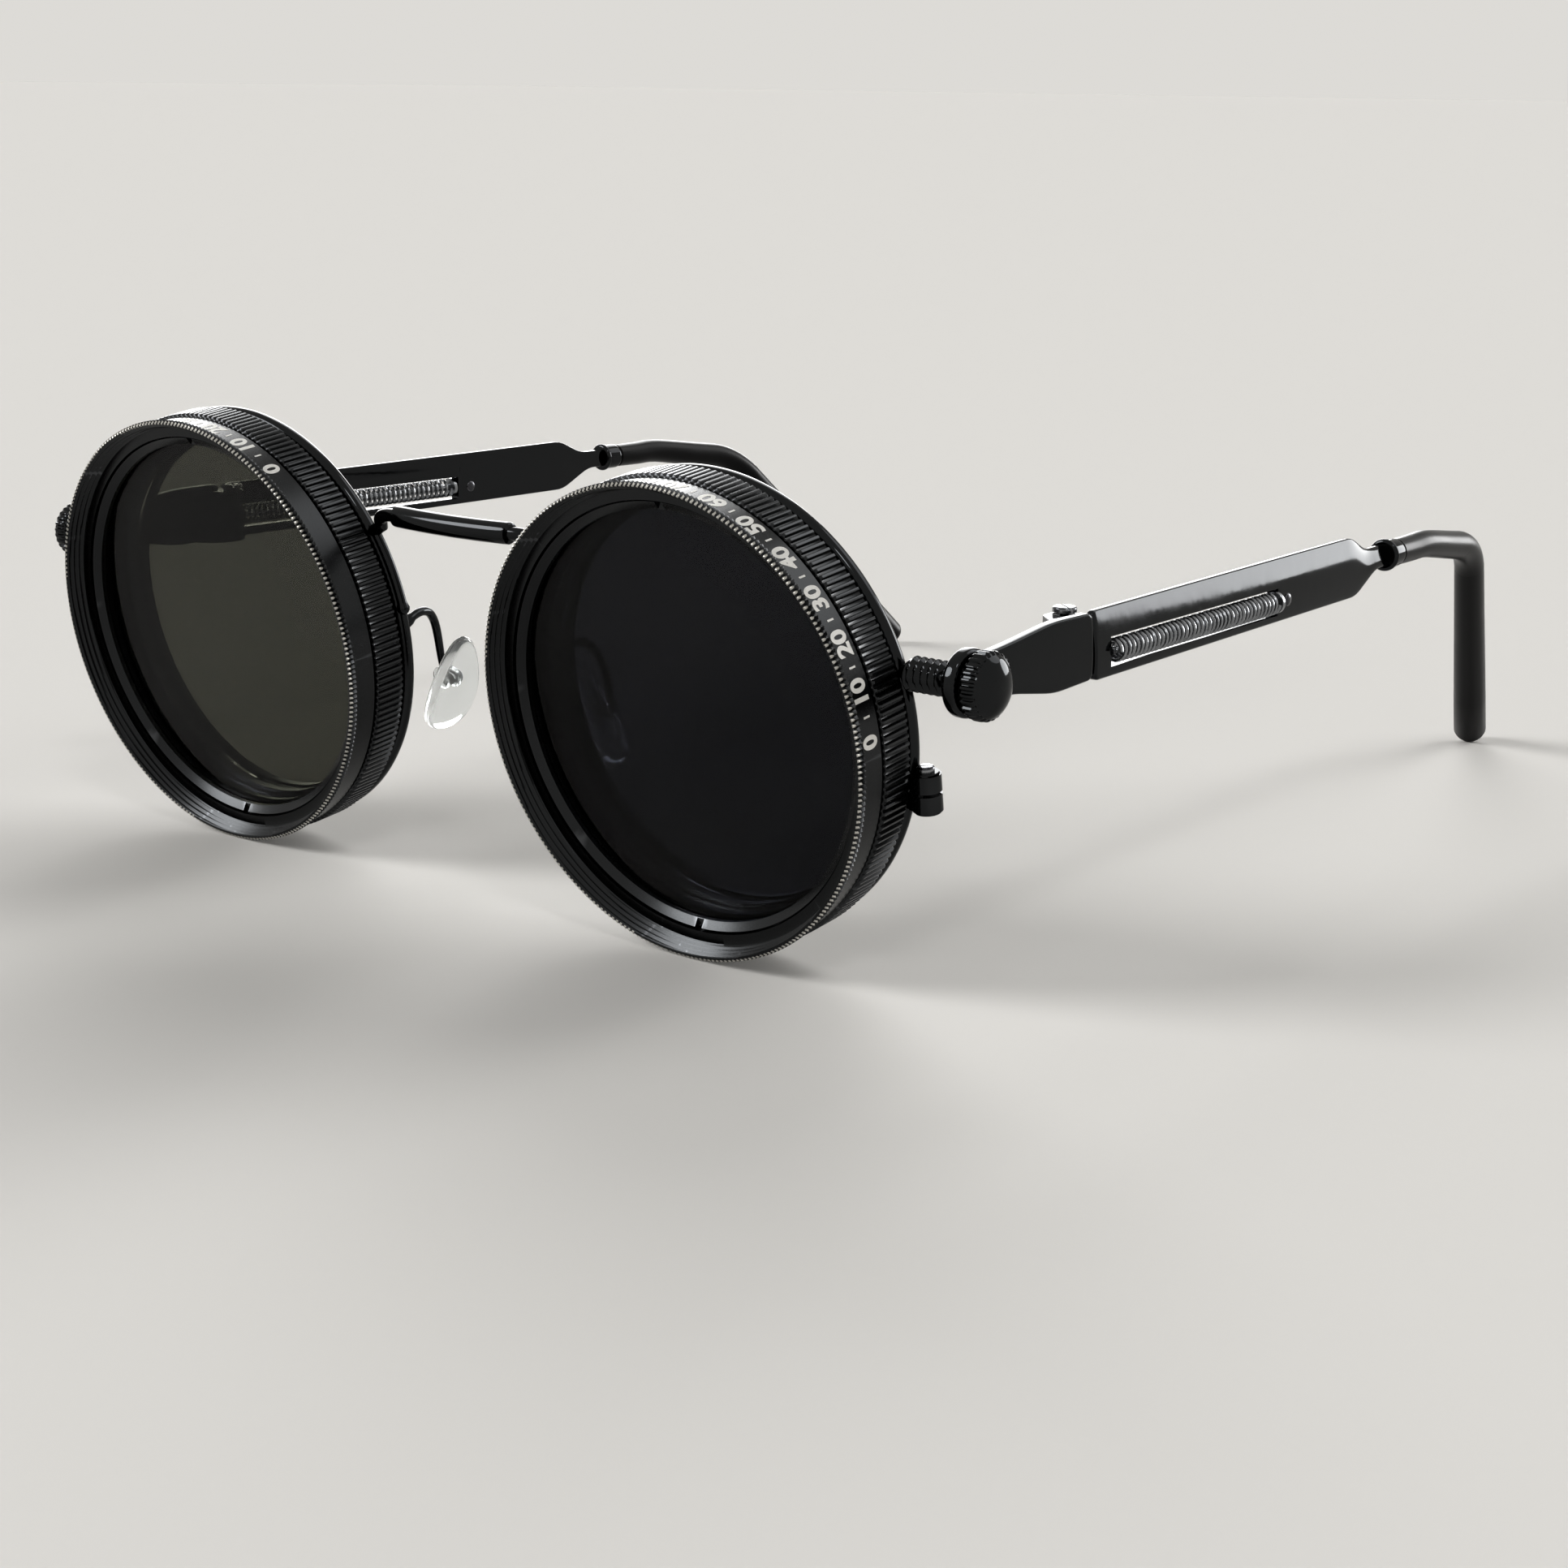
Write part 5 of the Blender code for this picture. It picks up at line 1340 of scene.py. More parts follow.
def section(low, high, half, crown, edge):
    """A plate's cross-section: flat inside, bulging outside, its corners rounded."""
    loop = []
    edge = min(edge, (high - low) / 2 * EDGE_MOST_SHARE, half * EDGE_MOST_SHARE)
    middle = low + (high - low) * CROWN_HEIGHT_SHARE
    x, top, bottom = half - edge, high - edge, low + edge
    corners = ((x, top, 90), (x, bottom, 0), (-x, bottom, -90), (-x, top, -180))
    for across, up, start in corners:
        loop += arc_rows(across, up, edge, edge, start, start - 90, CORNER_POINTS - 1)
        if start == 90:
            shares = [step / FACE_POINTS for step in range(1, FACE_POINTS)]
            loop += [(half, top - (top - bottom) * share) for share in shares]
    shaped = []
    for x, z in loop:
        share = (x + half) / (2 * half)
        bulge = crown * (1 - ((z - middle) / (high - middle)) ** 2) * share
        shaped.append((x + bulge - crown * share, z))
    return shaped


def rounding(radius, near):
    """How far a corner of this radius cuts in, near its end."""
    if near >= radius:
        return 0.0
    return radius - math.sqrt(max(0.0, radius**2 - (radius - near) ** 2))


def plate_mesh(edges, start, end, half, crown, side, smooth, corner):
    """A plate lofted along Y between a top and a bottom edge, with rounded outlines."""
    count = max(LEAST_STATIONS, round((end - start) / STATION_STEP))
    places = list(np.linspace(start, end, count + 1))
    for share in CORNER_STATIONS:
        places += [start + corner * share, end - corner * share]
    places = sorted(set(places))
    highs, lows = (edge_line(table, places, smooth) for table in edges)
    rows = []
    for place, high, low in zip(places, highs, lows):
        near = min(place - start, end - place)
        inset = min(rounding(corner, near), corner * END_THIN_SHARE)
        thin = min(rounding(PLATE_EDGE, near), PLATE_EDGE * END_THIN_SHARE)
        loop = section(low + inset, high - inset, half - thin, crown, PLATE_EDGE)
        rows.append(np.array([(side * (HINGE_OFFSET + half + x), place, z) for x, z in loop]))
    return grid_mesh(rows)


def eye_mesh(sizes):
    """The thick rounded eye that the stud passes through."""
    half = EYE_THICKNESS / 2
    bore = sizes.stud_radius + FIT_GAP
    outer = EYE_RADIUS - EYE_EDGE
    rim = half - EYE_EDGE
    profile = [(bore, -half + EYE_EDGE / 3), (bore + EYE_EDGE / 3, -half), (outer, -half)]
    profile += arc_rows(outer, -rim, EYE_EDGE, EYE_EDGE, *EYE_FRONT_ARC)
    profile += arc_rows(outer, rim, EYE_EDGE, EYE_EDGE, *EYE_BACK_ARC)
    profile += [(bore + EYE_EDGE / 3, half), (bore, half - EYE_EDGE / 3)]
    return turned(profile, BOSS_STEPS)


def knuckle_meshes(height, leaf, side, way):
    """A hinge barrel and the leaf that joins it to its plate, pointing forward or back."""
    bore = HINGE_SCREW_RADIUS + FIT_GAP
    half = height / 2
    barrel = turned(disc_rows(bore, HINGE_BARREL, -half, half, HINGE_EDGE), SCREW_STEPS)
    reach = HINGE_OFFSET + PLATE_EDGE
    outline = [
        (HINGE_BARREL * LEAF_ROOT_SHARE, HINGE_BUTT_GAP),
        (reach, HINGE_BUTT_GAP),
        (reach, leaf),
        (HINGE_BARREL, leaf),
        (HINGE_BARREL * LEAF_FLANK_SHARE, leaf / 2),
    ]
    outline += [(HINGE_BARREL * out, HINGE_BARREL * along) for out, along in LEAF_WRAP_SHARES]
    return [barrel, prism([(side * u, way * v) for u, v in outline], height, HINGE_EDGE / 2)]


class GLASSES_OT_build_end_pieces(bpy.types.Operator):
    """Build the end pieces, from the stud's eye to the hinge, and the hinge screws."""

    bl_idname = "glasses.build_end_pieces"
    bl_label = "Build end pieces"

    def execute(self, context):
        make_finishes(context)
        front = context.scene.glasses_front
        half = context.scene.glasses_temple.thickness / 2
        knuckle = HINGE_HEIGHT * (1 - HINGE_MIDDLE_SHARE) / 2 - FIT_GAP
        lift = (HINGE_HEIGHT - knuckle) / 2
        start = -HINGE_BACK + EYE_RADIUS - EYE_EDGE
        end = -HINGE_BUTT_GAP / 2
        top = Matrix.Translation((0.0, 0.0, HINGE_HEIGHT / 2 + FIT_GAP))
        skew = Matrix.Rotation(-SCREW_SKEW, 4, "Z")
        for label, side in SIDES:
            place = hinge_frame(label)
            eye = moved(eye_mesh(front), facing_side(side))
            eye = shifted(eye, side * (HINGE_OFFSET + half), -HINGE_BACK, -HINGE_RISE)
            edges = (END_TOP, END_BOTTOM)
            plate = plate_mesh(edges, start, end, half, END_CROWN, side, END_SMOOTH, END_CORNER)
            parts = [plate, eye]
            for way in (1, -1):
                meshes = knuckle_meshes(knuckle, HINGE_LEAF, side, -1)
                parts += [shifted(mesh, z=way * lift) for mesh in meshes]
            screw = slotted_screw(
                HINGE_SCREW_RADIUS, HINGE_SCREW_HEAD, SCREW_HEAD_HEIGHT, HINGE_HEIGHT, SCREW_SLOT
            )
            head = place @ top @ skew
            place_side(
                label,
                ("side_plate", merged(parts), place, "front", "gloss_black", "end_piece"),
                ("pivot_screw", screw, head, "front", "black_screw", "hinge_screw"),
            )
        return {"FINISHED"}


# Temples

TEMPLE_INWARD_DEGREES = 2.8
TEMPLE_CORNER = 0.9 * MM
TEMPLE_SMOOTH = 2.2 * MM
WINDOW_START = 3.4 * MM
WINDOW_LENGTH = 39.1 * MM
WINDOW_HEIGHT = 3.3 * MM
WINDOW_DROP = 0.8 * MM
WINDOW_EDGE = 0.09 * MM
NECK_RISE = 1.0 * MM
NECK_END = 75.2 * MM
COLLAR_COVER = 2.6 * MM
COLLAR_LENGTH = 3.2 * MM
COLLAR_RADIUS = 2.07 * MM
COLLAR_EDGE = 0.45 * MM
COLLAR_BEAD = 0.9 * MM
BEAD_ARC = (-80, 60, 7)
COLLAR_END_ARC = (0, 80, 4)
ROD_RADIUS = 0.45 * MM
COIL_PROUD = 0.5 * MM
SEAT_RADIUS = 1.35 * MM
SEAT_THICKNESS = 0.6 * MM
PIN_RADIUS = 0.8 * MM
PIN_SETBACK = 2.4 * MM
PIN_PROUD = 0.3 * MM
PIN_INNER_ARC = (-75, 0, 5)
PIN_OUTER_ARC = (0, 75, 5)
TIP_FIRST = 9.0 * MM
TIP_STRAIGHT = 26.0 * MM
TIP_INWARD = 0.9 * MM
TIP_DROP = 2.4 * MM
TIP_HOOK_BACK = 30.0 * MM
TIP_HOOK_INWARD = 10.5 * MM
TIP_BEND = 5.0 * MM
TIP_REST_SHARE = 0.37
TIP_BEND_STEPS = 16
TIP_SMOOTH_STEPS = 4
TIP_HOOK_SHARES = (0.25, 0.5, 0.75)
TIP_LIP = 0.25 * MM

# Rounded-off end of the tip: (distance from the end, radius), as shares of its radius
TIP_END_SHARES = ((0.6, 0.97), (0.4, 0.9), (0.24, 0.8), (0.14, 0.68), (0.1, 0.54))

# Top and bottom edges of the temple plate, as (place back from the hinge, height)
TEMPLE_TOP = ((0.0, 4.0), (63.5, 4.35), (67.8, 2.3), (75.2, 2.3))
TEMPLE_BOTTOM = ((0.0, -3.6), (64.0, -3.1), (69.5, -0.3), (75.2, -0.3))


def temple_plate_mesh(sizes, side):
    """The long plate with its window, its middle hinge knuckle and its neck."""
    half = sizes.thickness / 2
    start, edges = HINGE_BUTT_GAP / 2, (TEMPLE_TOP, TEMPLE_BOTTOM)
    plate = plate_mesh(
        edges, start, NECK_END, half, sizes.crown, side, TEMPLE_SMOOTH, TEMPLE_CORNER
    )
    window = block((2 * sizes.thickness + CUT_OVERRUN, WINDOW_LENGTH, WINDOW_HEIGHT))
    middle = side * (HINGE_OFFSET + half)
    shifted(window, middle, WINDOW_START + WINDOW_LENGTH / 2, -WINDOW_DROP)
    plate = carved(plate, window, WINDOW_EDGE)
    height = HINGE_HEIGHT * HINGE_MIDDLE_SHARE
    return merged([plate] + knuckle_meshes(height, HINGE_LEAF_SHORT, side, 1))


def coil_mesh(sizes, coil):
    """The decorative spring: one wire wound along Y."""
    radius = sizes.coil_radius - sizes.coil_wire
    steps = sizes.coil_turns * COIL_POINTS
    lead = sizes.coil_wire * 2
    points = []
    for step in range(steps + 1):
        turn = math.tau * step / COIL_POINTS
        along = lead + (coil - 2 * lead) * step / steps
        points.append(Vector((radius * math.cos(turn), along, radius * math.sin(turn))))
    return swept(points, [sizes.coil_wire] * len(points), WIRE_SIDES)


def rod_mesh(long):
    """The rod through the spring, with the flat seat that the spring bears on."""
    seat = long - SEAT_THICKNESS
    profile = [(0.0, 0.0), (ROD_RADIUS, 0.0)]
    profile += disc_rows(ROD_RADIUS, SEAT_RADIUS, seat, long, RING_EDGE)[:-1]
    return capped(profile + [(0.0, long)], SCREW_STEPS)


def pin_mesh(thickness):
    """A pin through the plate, domed at both ends."""
    half = thickness / 2 + PIN_PROUD
    profile = [(0.0, -half)]
    profile += arc_rows(0.0, PIN_PROUD - half, PIN_RADIUS, PIN_PROUD, *PIN_INNER_ARC)
    profile += arc_rows(0.0, half - PIN_PROUD, PIN_RADIUS, PIN_PROUD, *PIN_OUTER_ARC)
    return capped(profile + [(0.0, half)], SCREW_STEPS)


def collar_mesh():
    """The turned collar: a rounded bead at the front, then a plain barrel."""
    bead = COLLAR_BEAD / 2
    inner = COLLAR_RADIUS - COLLAR_EDGE
    barrel = inner + COLLAR_EDGE / 2
    end = COLLAR_LENGTH - COLLAR_EDGE
    profile = [(0.0, 0.0), (inner, 0.0)]
    profile += arc_rows(inner, bead, COLLAR_EDGE, bead, *BEAD_ARC)
    profile += [(barrel, COLLAR_BEAD), (barrel, end)]
    profile += arc_rows(inner, end, COLLAR_EDGE / 2, COLLAR_EDGE, *COLLAR_END_ARC)
    return capped(profile + [(0.0, COLLAR_LENGTH)], BOSS_STEPS)


def tip_mesh(sizes, side, drop):
    """The sleeve: straight behind the collar, bent over the ear, and hooked down and inwards."""
    first = Vector((0.0, TIP_FIRST, 0.0))
    bend = Vector((-side * TIP_INWARD, TIP_STRAIGHT, -TIP_DROP))
    hook = Vector((-side * TIP_HOOK_INWARD, TIP_HOOK_BACK, -drop))
    end, way = bend + hook, hook.normalized()
    before = bend - (bend - first).normalized() * TIP_BEND
    after = bend + way * TIP_BEND
    points = [Vector((0.0, 0.0, 0.0)), first * 0.5, first, first.lerp(bend, 0.5)]
    for step in range(TIP_BEND_STEPS + 1):
        t = step / TIP_BEND_STEPS
        points.append(before.lerp(bend, t).lerp(bend.lerp(after, t), t))
    points += [after.lerp(end, share) for share in TIP_HOOK_SHARES]
    spread = sizes.tip_end - sizes.tip_start
    radii = [
        min(sizes.tip_end, sizes.tip_start + spread * place.length / end.length)
        for place in points
    ]
    places, widths = smooth_path(points, radii, TIP_SMOOTH_STEPS)
    lip = places[0] + Vector((0.0, TIP_LIP, 0.0))
    places[:1] = [places[0], lip]
    widths[:1] = [widths[0] - TIP_LIP, widths[0]]
    for distance, width in TIP_END_SHARES:
        places.append(end - way * sizes.tip_end * distance)
        widths.append(sizes.tip_end * width)
    return swept(places, widths, BAR_SIDES)


def temple_spot(sizes, label, side, proud, back, rise):
    """A place in the plate's thickness, back from the hinge and up from it."""
    out = side * (HINGE_OFFSET + sizes.thickness / 2 + proud)
    return temple_frame(label, side) @ Matrix.Translation((out, back, rise))


class GLASSES_OT_build_temples(bpy.types.Operator):
    """Build the temple plates, springs, rods, pins, collars and tips."""

    bl_idname = "glasses.build_temples"
    bl_label = "Build temples"

    def execute(self, context):
        make_finishes(context)
        sizes = context.scene.glasses_temple
        long = WINDOW_LENGTH - 2 * FIT_GAP
        coil = long - SEAT_THICKNESS - FIT_GAP
        pin_start = WINDOW_START + WINDOW_LENGTH + PIN_SETBACK
        collar_start = NECK_END - COLLAR_COVER
        backwards = Matrix.Rotation(-math.pi / 2, 4, "X")
        for label, side in SIDES:
            own = (sizes, label, side)
            spring = temple_spot(*own, COIL_PROUD, WINDOW_START + FIT_GAP, -WINDOW_DROP)
            hole = temple_spot(*own, 0.0, pin_start, -WINDOW_DROP) @ facing_side(side)
            neck = temple_spot(*own, 0.0, collar_start, NECK_RISE) @ backwards
            tip = temple_spot(*own, 0.0, collar_start + COLLAR_LENGTH + FIT_GAP, NECK_RISE)
            height = joint_place(f"{label}_temple_fold").z
            drop = height + NECK_RISE - TIP_DROP - sizes.tip_end * TIP_REST_SHARE
            plate, line = temple_plate_mesh(sizes, side), temple_frame(label, side)
            wire, rod, pin = coil_mesh(sizes, coil), rod_mesh(long), pin_mesh(sizes.thickness)
            collar, sleeve = collar_mesh(), tip_mesh(sizes, side, drop)
            body = f"{label}_temple"
            place_side(
                label,
                ("windowed_plate", plate, line, body, "gloss_black", "temple_plate"),
                ("wound_spring", wire, spring, body, "spring_steel", "temple_spring"),
                ("seated_rod", rod, spring @ backwards, body, "spring_steel", "spring_rod"),
                ("domed_pin", pin, hole, body, "black_screw", "spring_pin"),
                ("beaded_collar", collar, neck, body, "gloss_black", "tip_collar"),
                ("ear_sleeve", sleeve, tip, body, "black_tip", "temple_tip"),
            )
        return {"FINISHED"}


# Nose pads

PAD_LEAN_DEGREES = 23.4
PAD_TURN_DEGREES = -8.0
PAD_STANDOFF = 1.0 * MM
PAD_TAPER_SHARE = 0.3
PAD_CUP = 0.35 * MM
PAD_ROWS = 28
PAD_SIDES = 48
PAD_SQUARE = 0.8
PAD_FLAT = 0.55
PAD_EAR_RADIUS = 1.15 * MM
PAD_EAR_THICKNESS = 0.5 * MM
PAD_EAR_GAP = 1.1 * MM
PAD_EAR_EDGE = 0.12 * MM
PAD_SCREW_RADIUS = 0.3 * MM
PAD_SCREW_HEAD = 0.75 * MM
PAD_SCREW_HEIGHT = 0.45 * MM
PAD_EYE_RADIUS = 0.85 * MM
PAD_EYE_THICKNESS = 0.7 * MM
PAD_FOOT_DEGREES = 176.0
PAD_LOOP_BACK = 6.5 * MM
PAD_LOOP_RISE = 3.0 * MM
PAD_ARM_STEPS = 28
PAD_NECK_SHARE = 0.75
PAD_FOOT_SHARE = 1.35


def pad_axes(side):
    """The pad's directions: across its width, along it upwards, and out of its back."""
    lean = math.radians(PAD_LEAN_DEGREES)
    turn = math.radians(PAD_TURN_DEGREES)
    along = Vector((-side * math.sin(lean), 0.0, math.cos(lean)))
    flat = Vector((side * math.cos(lean), 0.0, math.sin(lean)))
    back = flat * math.cos(turn) - Vector((0.0, math.sin(turn), 0.0))
    return along.cross(back), along, back


def pad_matrix(side):
    return Matrix(pad_axes(side)).transposed().to_4x4()


def pad_frame(label, side):
    """The pad's own axes, at its pivot."""
    lean = front_frame().to_3x3().to_4x4()
    return Matrix.Translation(joint_place(f"{label}_pad_rock")) @ lean @ pad_matrix(side)


def power(value, share):
    return math.copysign(abs(value) ** share, value)


def pad_eye(radius, thickness):
    """A flat round eye about X that the pad's screw passes through."""
    hole, half = PAD_SCREW_RADIUS + FIT_GAP, thickness / 2
    eye = turned(disc_rows(hole, radius, -half, half, PAD_EAR_EDGE), SCREW_STEPS)
    return moved(eye, Matrix.Rotation(math.pi / 2, 4, "Y"))


def pad_mesh(sizes):
    """A drop-shaped cushion, slightly cupped, with two ears on its back."""
    drop = sizes.pad_thickness / 2 + PAD_STANDOFF
    rows = []
    for row in range(1, PAD_ROWS):
        tilt = math.pi * (row / PAD_ROWS - 0.5)
        up, out = math.sin(tilt), math.cos(tilt)
        width = (1 - PAD_TAPER_SHARE * up) * sizes.pad_width / 2 * out**PAD_SQUARE
        thick = sizes.pad_thickness / 2 * out**PAD_FLAT
        ring = []
        for step in range(PAD_SIDES):
            turn = math.tau * step / PAD_SIDES
            x = width * power(math.cos(turn), PAD_SQUARE)
            z = thick * power(math.sin(turn), PAD_SQUARE)
            cup = PAD_CUP * ((x / sizes.pad_width * 2) ** 2 + up * up) / 2
            ring.append((x, up * sizes.pad_length / 2, z + cup * (1 - out**4) - drop))
        rows.append(np.array(ring))
    shift = (PAD_EAR_GAP + PAD_EAR_THICKNESS) / 2
    ears = [shifted(pad_eye(PAD_EAR_RADIUS, PAD_EAR_THICKNESS), way * shift) for way in (1, -1)]
    return merged([grid_mesh(rows)] + ears)


def pad_arm_mesh(filters, front, sizes, label, side):
    """The bent wire from the eyewire's back to the flat eye between the pad's ears."""
    _, along, back = pad_axes(side)
    rim = (rim_radius(filters) + rim_bore(filters)) / 2
    turn = math.radians(PAD_FOOT_DEGREES)
    out = joint_place("left_filter_turn").x + rim * math.cos(turn)
    rear = rim_front(filters) + front.rim_width - RIM_BACK_EDGE
    foot = Vector((side * out, rear, rim * math.sin(turn)))
    pivot = front_frame().inverted() @ joint_place(f"{label}_pad_rock")
    leave = foot + Vector((0.0, PAD_LOOP_BACK, PAD_LOOP_RISE))
    arrive = pivot + (along + back) * PAD_LOOP_RISE
    points, radii = [], []
    for step in range(PAD_ARM_STEPS + 1):
        t = step / PAD_ARM_STEPS
        place = foot * (1 - t) ** 3 + leave * (3 * t * (1 - t) ** 2)
        points.append(place + arrive * (3 * t * t * (1 - t)) + pivot * t**3)
        radii.append(sizes.arm_radius * (1 - (1 - PAD_NECK_SHARE) * t**4))
    radii[:2] = [sizes.arm_radius * PAD_FOOT_SHARE] * 2
    eye = pad_eye(PAD_EYE_RADIUS, PAD_EYE_THICKNESS)
    moved(eye, Matrix.Translation(pivot) @ pad_matrix(side))
    return merged([swept(points, radii), eye])


class GLASSES_OT_build_pads(bpy.types.Operator):
    """Build the nose pads, their wire arms and screws."""

    bl_idname = "glasses.build_pads"
    bl_label = "Build nose pads"

    def execute(self, context):
        make_finishes(context)
        sizes = context.scene.glasses_pads
        filters = context.scene.glasses_filter
        front = context.scene.glasses_front
        long = PAD_EAR_GAP + 2 * PAD_EAR_THICKNESS + FIT_GAP
        across = Matrix.Translation((-long / 2, 0.0, 0.0)) @ Matrix.Rotation(-math.pi / 2, 4, "Y")
        for label, side in SIDES:
            pivot = pad_frame(label, side)
            arm = pad_arm_mesh(filters, front, sizes, label, side)
            screw = slotted_screw(
                PAD_SCREW_RADIUS, PAD_SCREW_HEAD, PAD_SCREW_HEIGHT, long, SCREW_SLOT / 2
            )
            cushion, body = pad_mesh(sizes), f"{label}_pad"
            place_side(
                label,
                ("clear_pad", cushion, pivot, body, "clear_silicone", "nose_pad"),
                ("gooseneck", arm, front_frame(), "front", "gloss_black", "pad_arm"),
                ("pad_rivet", screw, pivot @ across, "front", "black_screw", "pad_screw"),
            )
        return {"FINISHED"}


# Studio

FLOOR_SIZE = 40.0
CAMERA_PLACE = (236.628 * MM, -209.038 * MM, 97.852 * MM)
CAMERA_AZIMUTH = 40.99
CAMERA_ELEVATION = 20.11
CAMERA_ROLL = -4.73
SENSOR_WIDTH = 36.0

# Far soft lamps: (name, direction of the lamp, its width in degrees, light it throws)
SOFT_LAMPS = (
    ("back", (-0.68, 0.69, 0.24), 38.0, 2.6),
    ("high", (-0.46, 0.66, 0.59), 26.0, 0.7),
    ("top", (0.32, 0.71, 0.63), 34.0, 0.75),
    ("front", (-0.62, -0.6, 0.5), 26.0, 2.3),
    ("right", (0.5, -0.35, 0.79), 10.0, 0.35),
    ("side", (0.29, 0.94, 0.17), 26.0, 2.2),
)

# Sines of the heights between which the backdrop fades into the even light above it
BACKDROP_FADE = (0.1, 0.5)


def camera_matrix():
    """The photograph's viewpoint, measured in the leaning front's frame."""
    turn, tilt, roll = (math.radians(a) for a in (CAMERA_AZIMUTH, CAMERA_ELEVATION, CAMERA_ROLL))
    right = Vector((math.cos(turn), math.sin(turn), 0.0))
    level = Vector((math.sin(turn), -math.cos(turn), 0.0))
    back = level * math.cos(tilt) + Vector((0.0, 0.0, math.sin(tilt)))
    up = back.cross(right)
    rolled_right = right * math.cos(roll) + up * math.sin(roll)
    rolled_up = up * math.cos(roll) - right * math.sin(roll)
    axes = Matrix((rolled_right, rolled_up, back)).transposed().to_4x4()
    return front_frame() @ Matrix.Translation(CAMERA_PLACE) @ axes


def add_soft_lamp(name, way, width, strength):
    """A wide, far lamp, which lights the whole floor evenly."""
    lamp = bpy.data.lights.new(name, "SUN")
    lamp.angle = math.radians(width)
    lamp.energy = strength
    holder = bpy.data.objects.new(name, lamp)
    bpy.context.scene.collection.objects.link(holder)
    holder.location = way
    holder.rotation_euler = way.to_track_quat("Z", "Y").to_euler()


def light_backdrop(world, base, level, sky):
    """A backdrop like the lit floor, fading upwards into an even light.

    Metal mirrors the backdrop at every height, as it would a pale room.
    """
    world.use_nodes = True
    tree = world.node_tree
    way = add_node(tree, "ShaderNodeTexCoord").outputs["Generated"]
    height = add_node(tree, "ShaderNodeSeparateXYZ", links={"Vector": way}).outputs["Z"]
    low, high = BACKDROP_FADE
    fade = add_node(
        tree,
        "ShaderNodeMapRange",
        {"From Min": low, "From Max": high},
        {"Value": height},
        interpolation_type="SMOOTHSTEP",
    )
    mirrored = add_node(tree, "ShaderNodeLightPath").outputs["Is Glossy Ray"]
    direct = add_node(tree, "ShaderNodeMath", {0: 1.0}, {1: mirrored}, operation="SUBTRACT")
    links = {0: fade.outputs["Result"], 1: direct.outputs["Value"]}
    faded = add_node(tree, "ShaderNodeMath", links=links, operation="MULTIPLY")
    wall = [channel * level for channel in base]
    colours = {"A": (*wall, 1.0), "B": (sky, sky, sky, 1.0)}
    links = {"Factor": faded.outputs["Value"]}
    mix = add_node(tree, "ShaderNodeMix", colours, links, data_type="RGBA")
    tree.links.new(mix.outputs["Result"], tree.nodes["Background"].inputs["Color"])


def wall_level(base, sky, lamps):
    """The light that makes the backdrop as pale as the floor under the lamps and the sky.

    The floor is lit by the even light over it, by the lamps and by the backdrop itself, which
    covers a share of its sky.
    """
    level = sky + sum(strength * way.z / math.pi for way, strength in lamps)
    share = (sum(BACKDROP_FADE) / 2) ** 2
    return (level - sky * share) / (1 - share * sum(base) / 3)


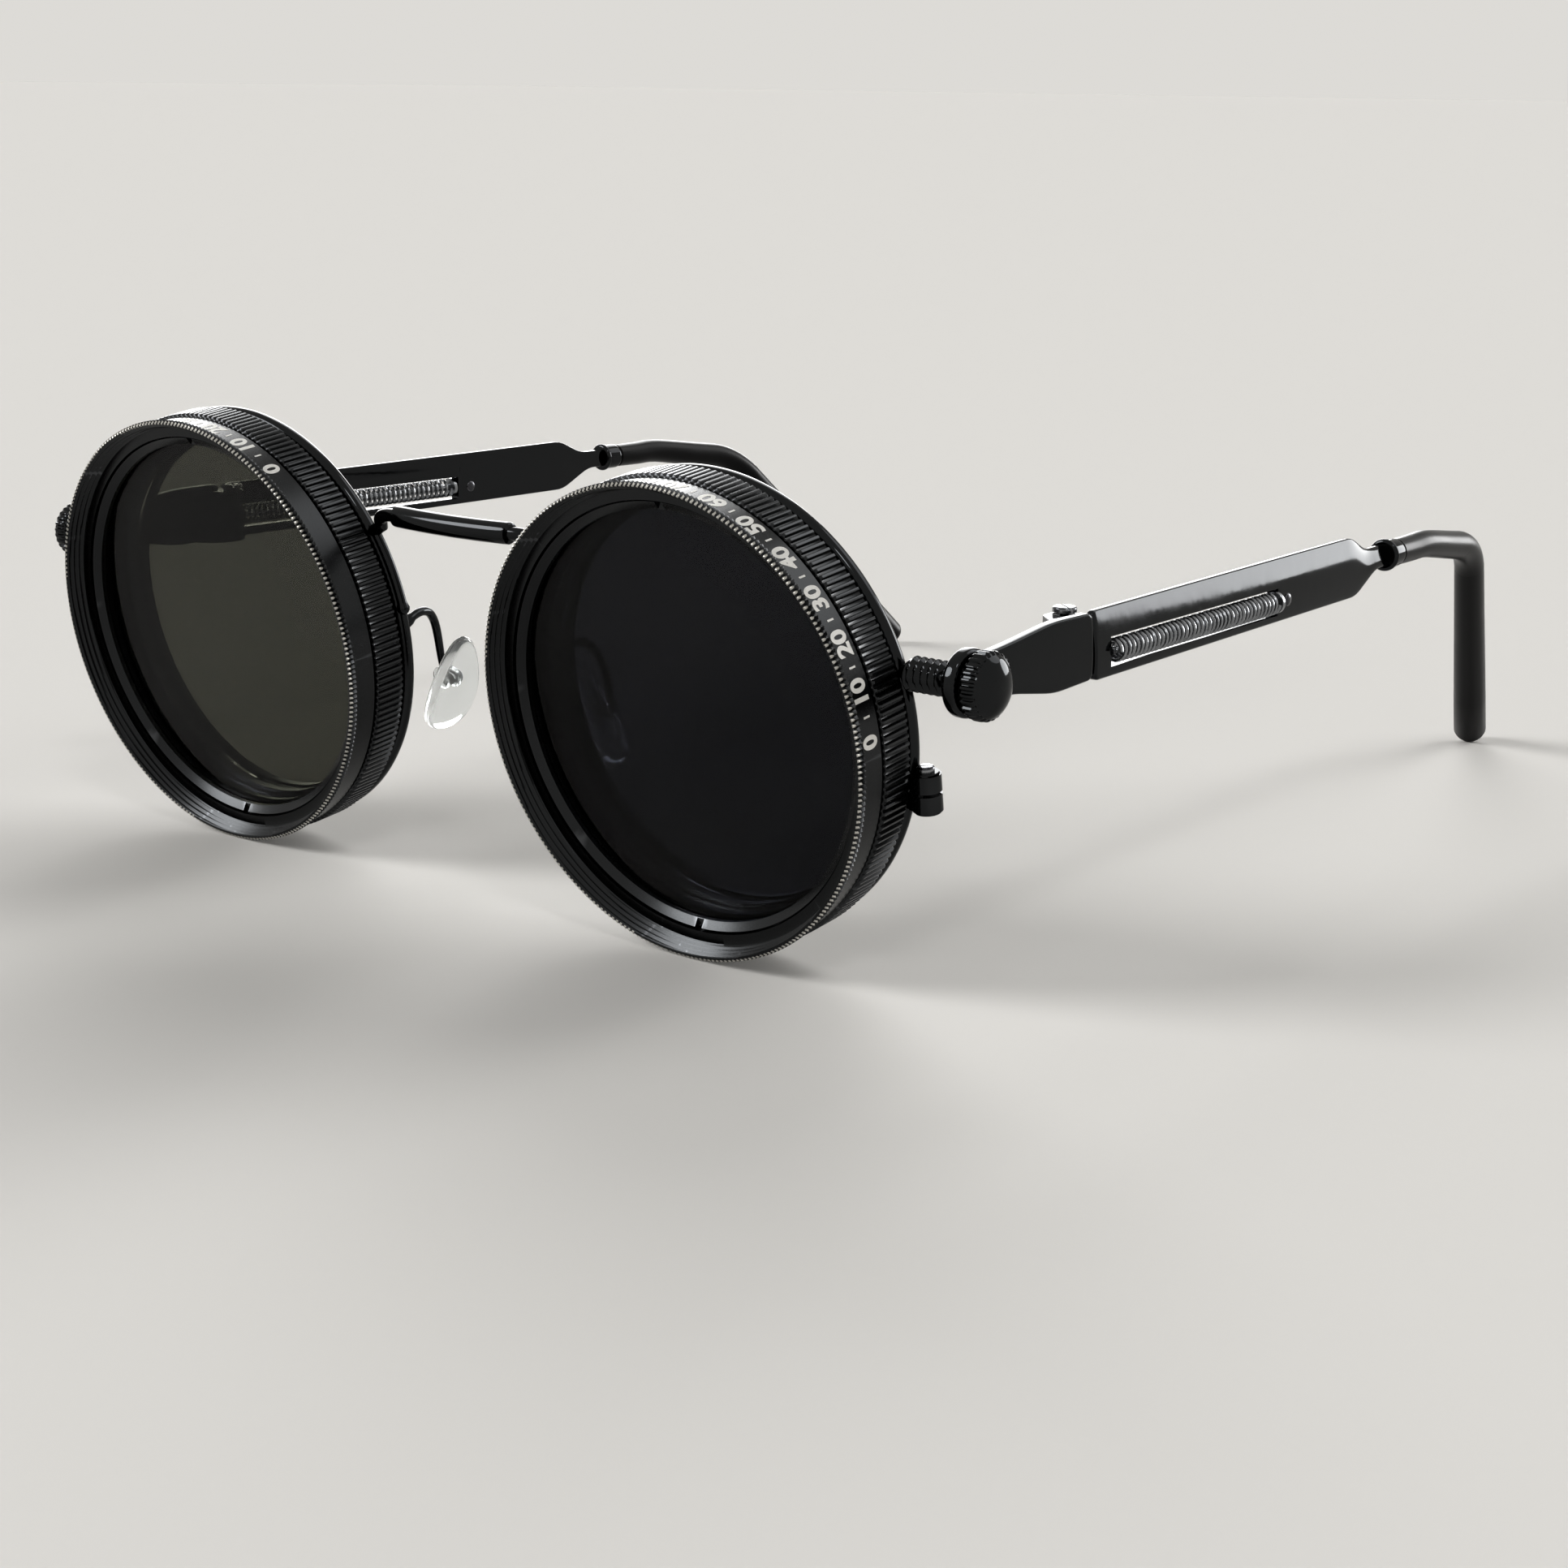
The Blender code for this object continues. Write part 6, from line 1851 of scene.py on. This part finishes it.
class GLASSES_OT_build_studio(bpy.types.Operator):
    """Build the pale floor, the soft light and the camera."""

    bl_idname = "glasses.build_studio"
    bl_label = "Build studio"

    def execute(self, context):
        scene = context.scene
        settings = scene.glasses_studio
        base, sky = tuple(settings.floor), settings.sky
        paint = new_finish("matt_floor_paint", base, 0.9, Specular_IOR_Level=0.0)
        vary_roughness(paint, grain_of(3.0, 2.0), 0.85, 0.95)
        floor = bpy.data.objects.new("studio_floor", block((FLOOR_SIZE, FLOOR_SIZE, MM)))
        floor.location = (0.0, 0.0, -MM / 2)
        floor.data.materials.append(paint)
        scene.collection.objects.link(floor)
        floor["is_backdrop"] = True
        lamps = []
        for name, direction, width, throw in SOFT_LAMPS:
            way = Vector(direction).normalized()
            lamps.append((way, settings.lamps * throw))
            add_soft_lamp(f"soft_lamp_{name}", way, width, settings.lamps * throw)
        scene.world = bpy.data.worlds.new("studio_light")
        light_backdrop(scene.world, base, wall_level(base, sky, lamps), sky)
        camera = bpy.data.cameras.new("photo_camera")
        camera.sensor_fit = "HORIZONTAL"
        camera.sensor_width = SENSOR_WIDTH
        camera.lens = settings.lens
        camera.clip_start = MM
        holder = bpy.data.objects.new("photo_camera", camera)
        scene.collection.objects.link(holder)
        holder.matrix_world = camera_matrix()
        scene.camera = holder
        scene.view_settings.view_transform = "Standard"
        return {"FINISHED"}


OPERATORS = (
    GLASSES_OT_build_filters,
    GLASSES_OT_build_rims,
    GLASSES_OT_build_bridge,
    GLASSES_OT_build_studs,
    GLASSES_OT_build_end_pieces,
    GLASSES_OT_build_temples,
    GLASSES_OT_build_pads,
    GLASSES_OT_build_studio,
)

SETTINGS = (
    ("glasses_filter", FilterSizes),
    ("glasses_front", FrontSizes),
    ("glasses_temple", TempleSizes),
    ("glasses_pads", PadSizes),
    ("glasses_finishes", Finishes),
    ("glasses_studio", StudioSettings),
)


class GLASSES_PT_panel(bpy.types.Panel):
    """Sizes, colours and steps of the glasses."""

    bl_idname = "GLASSES_PT_panel"
    bl_label = "Glasses"
    bl_space_type = "VIEW_3D"
    bl_region_type = "UI"
    bl_category = "Glasses"

    def draw(self, context):
        for name, group in SETTINGS:
            box = self.layout.box()
            box.label(text=group.__doc__)
            for field in group.__annotations__:
                box.prop(getattr(context.scene, name), field)
        for operator in OPERATORS:
            self.layout.operator(operator.bl_idname)


def register():
    for name, group in SETTINGS:
        bpy.utils.register_class(group)
        setattr(bpy.types.Scene, name, PointerProperty(type=group))
    for kind in OPERATORS + (GLASSES_PT_panel,):
        bpy.utils.register_class(kind)


def unregister():
    for kind in (GLASSES_PT_panel,) + OPERATORS[::-1]:
        bpy.utils.unregister_class(kind)
    for name, group in SETTINGS[::-1]:
        delattr(bpy.types.Scene, name)
        bpy.utils.unregister_class(group)


def main():
    register()
    for operator in OPERATORS:
        group, name = operator.bl_idname.split(".")
        getattr(getattr(bpy.ops, group), name)()
    boxes = {"cad": CAD_BOX, "visual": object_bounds()}
    {key: [list(corner) for corner in box] for key, box in boxes.items()}


if __name__ == "__main__":
    main()
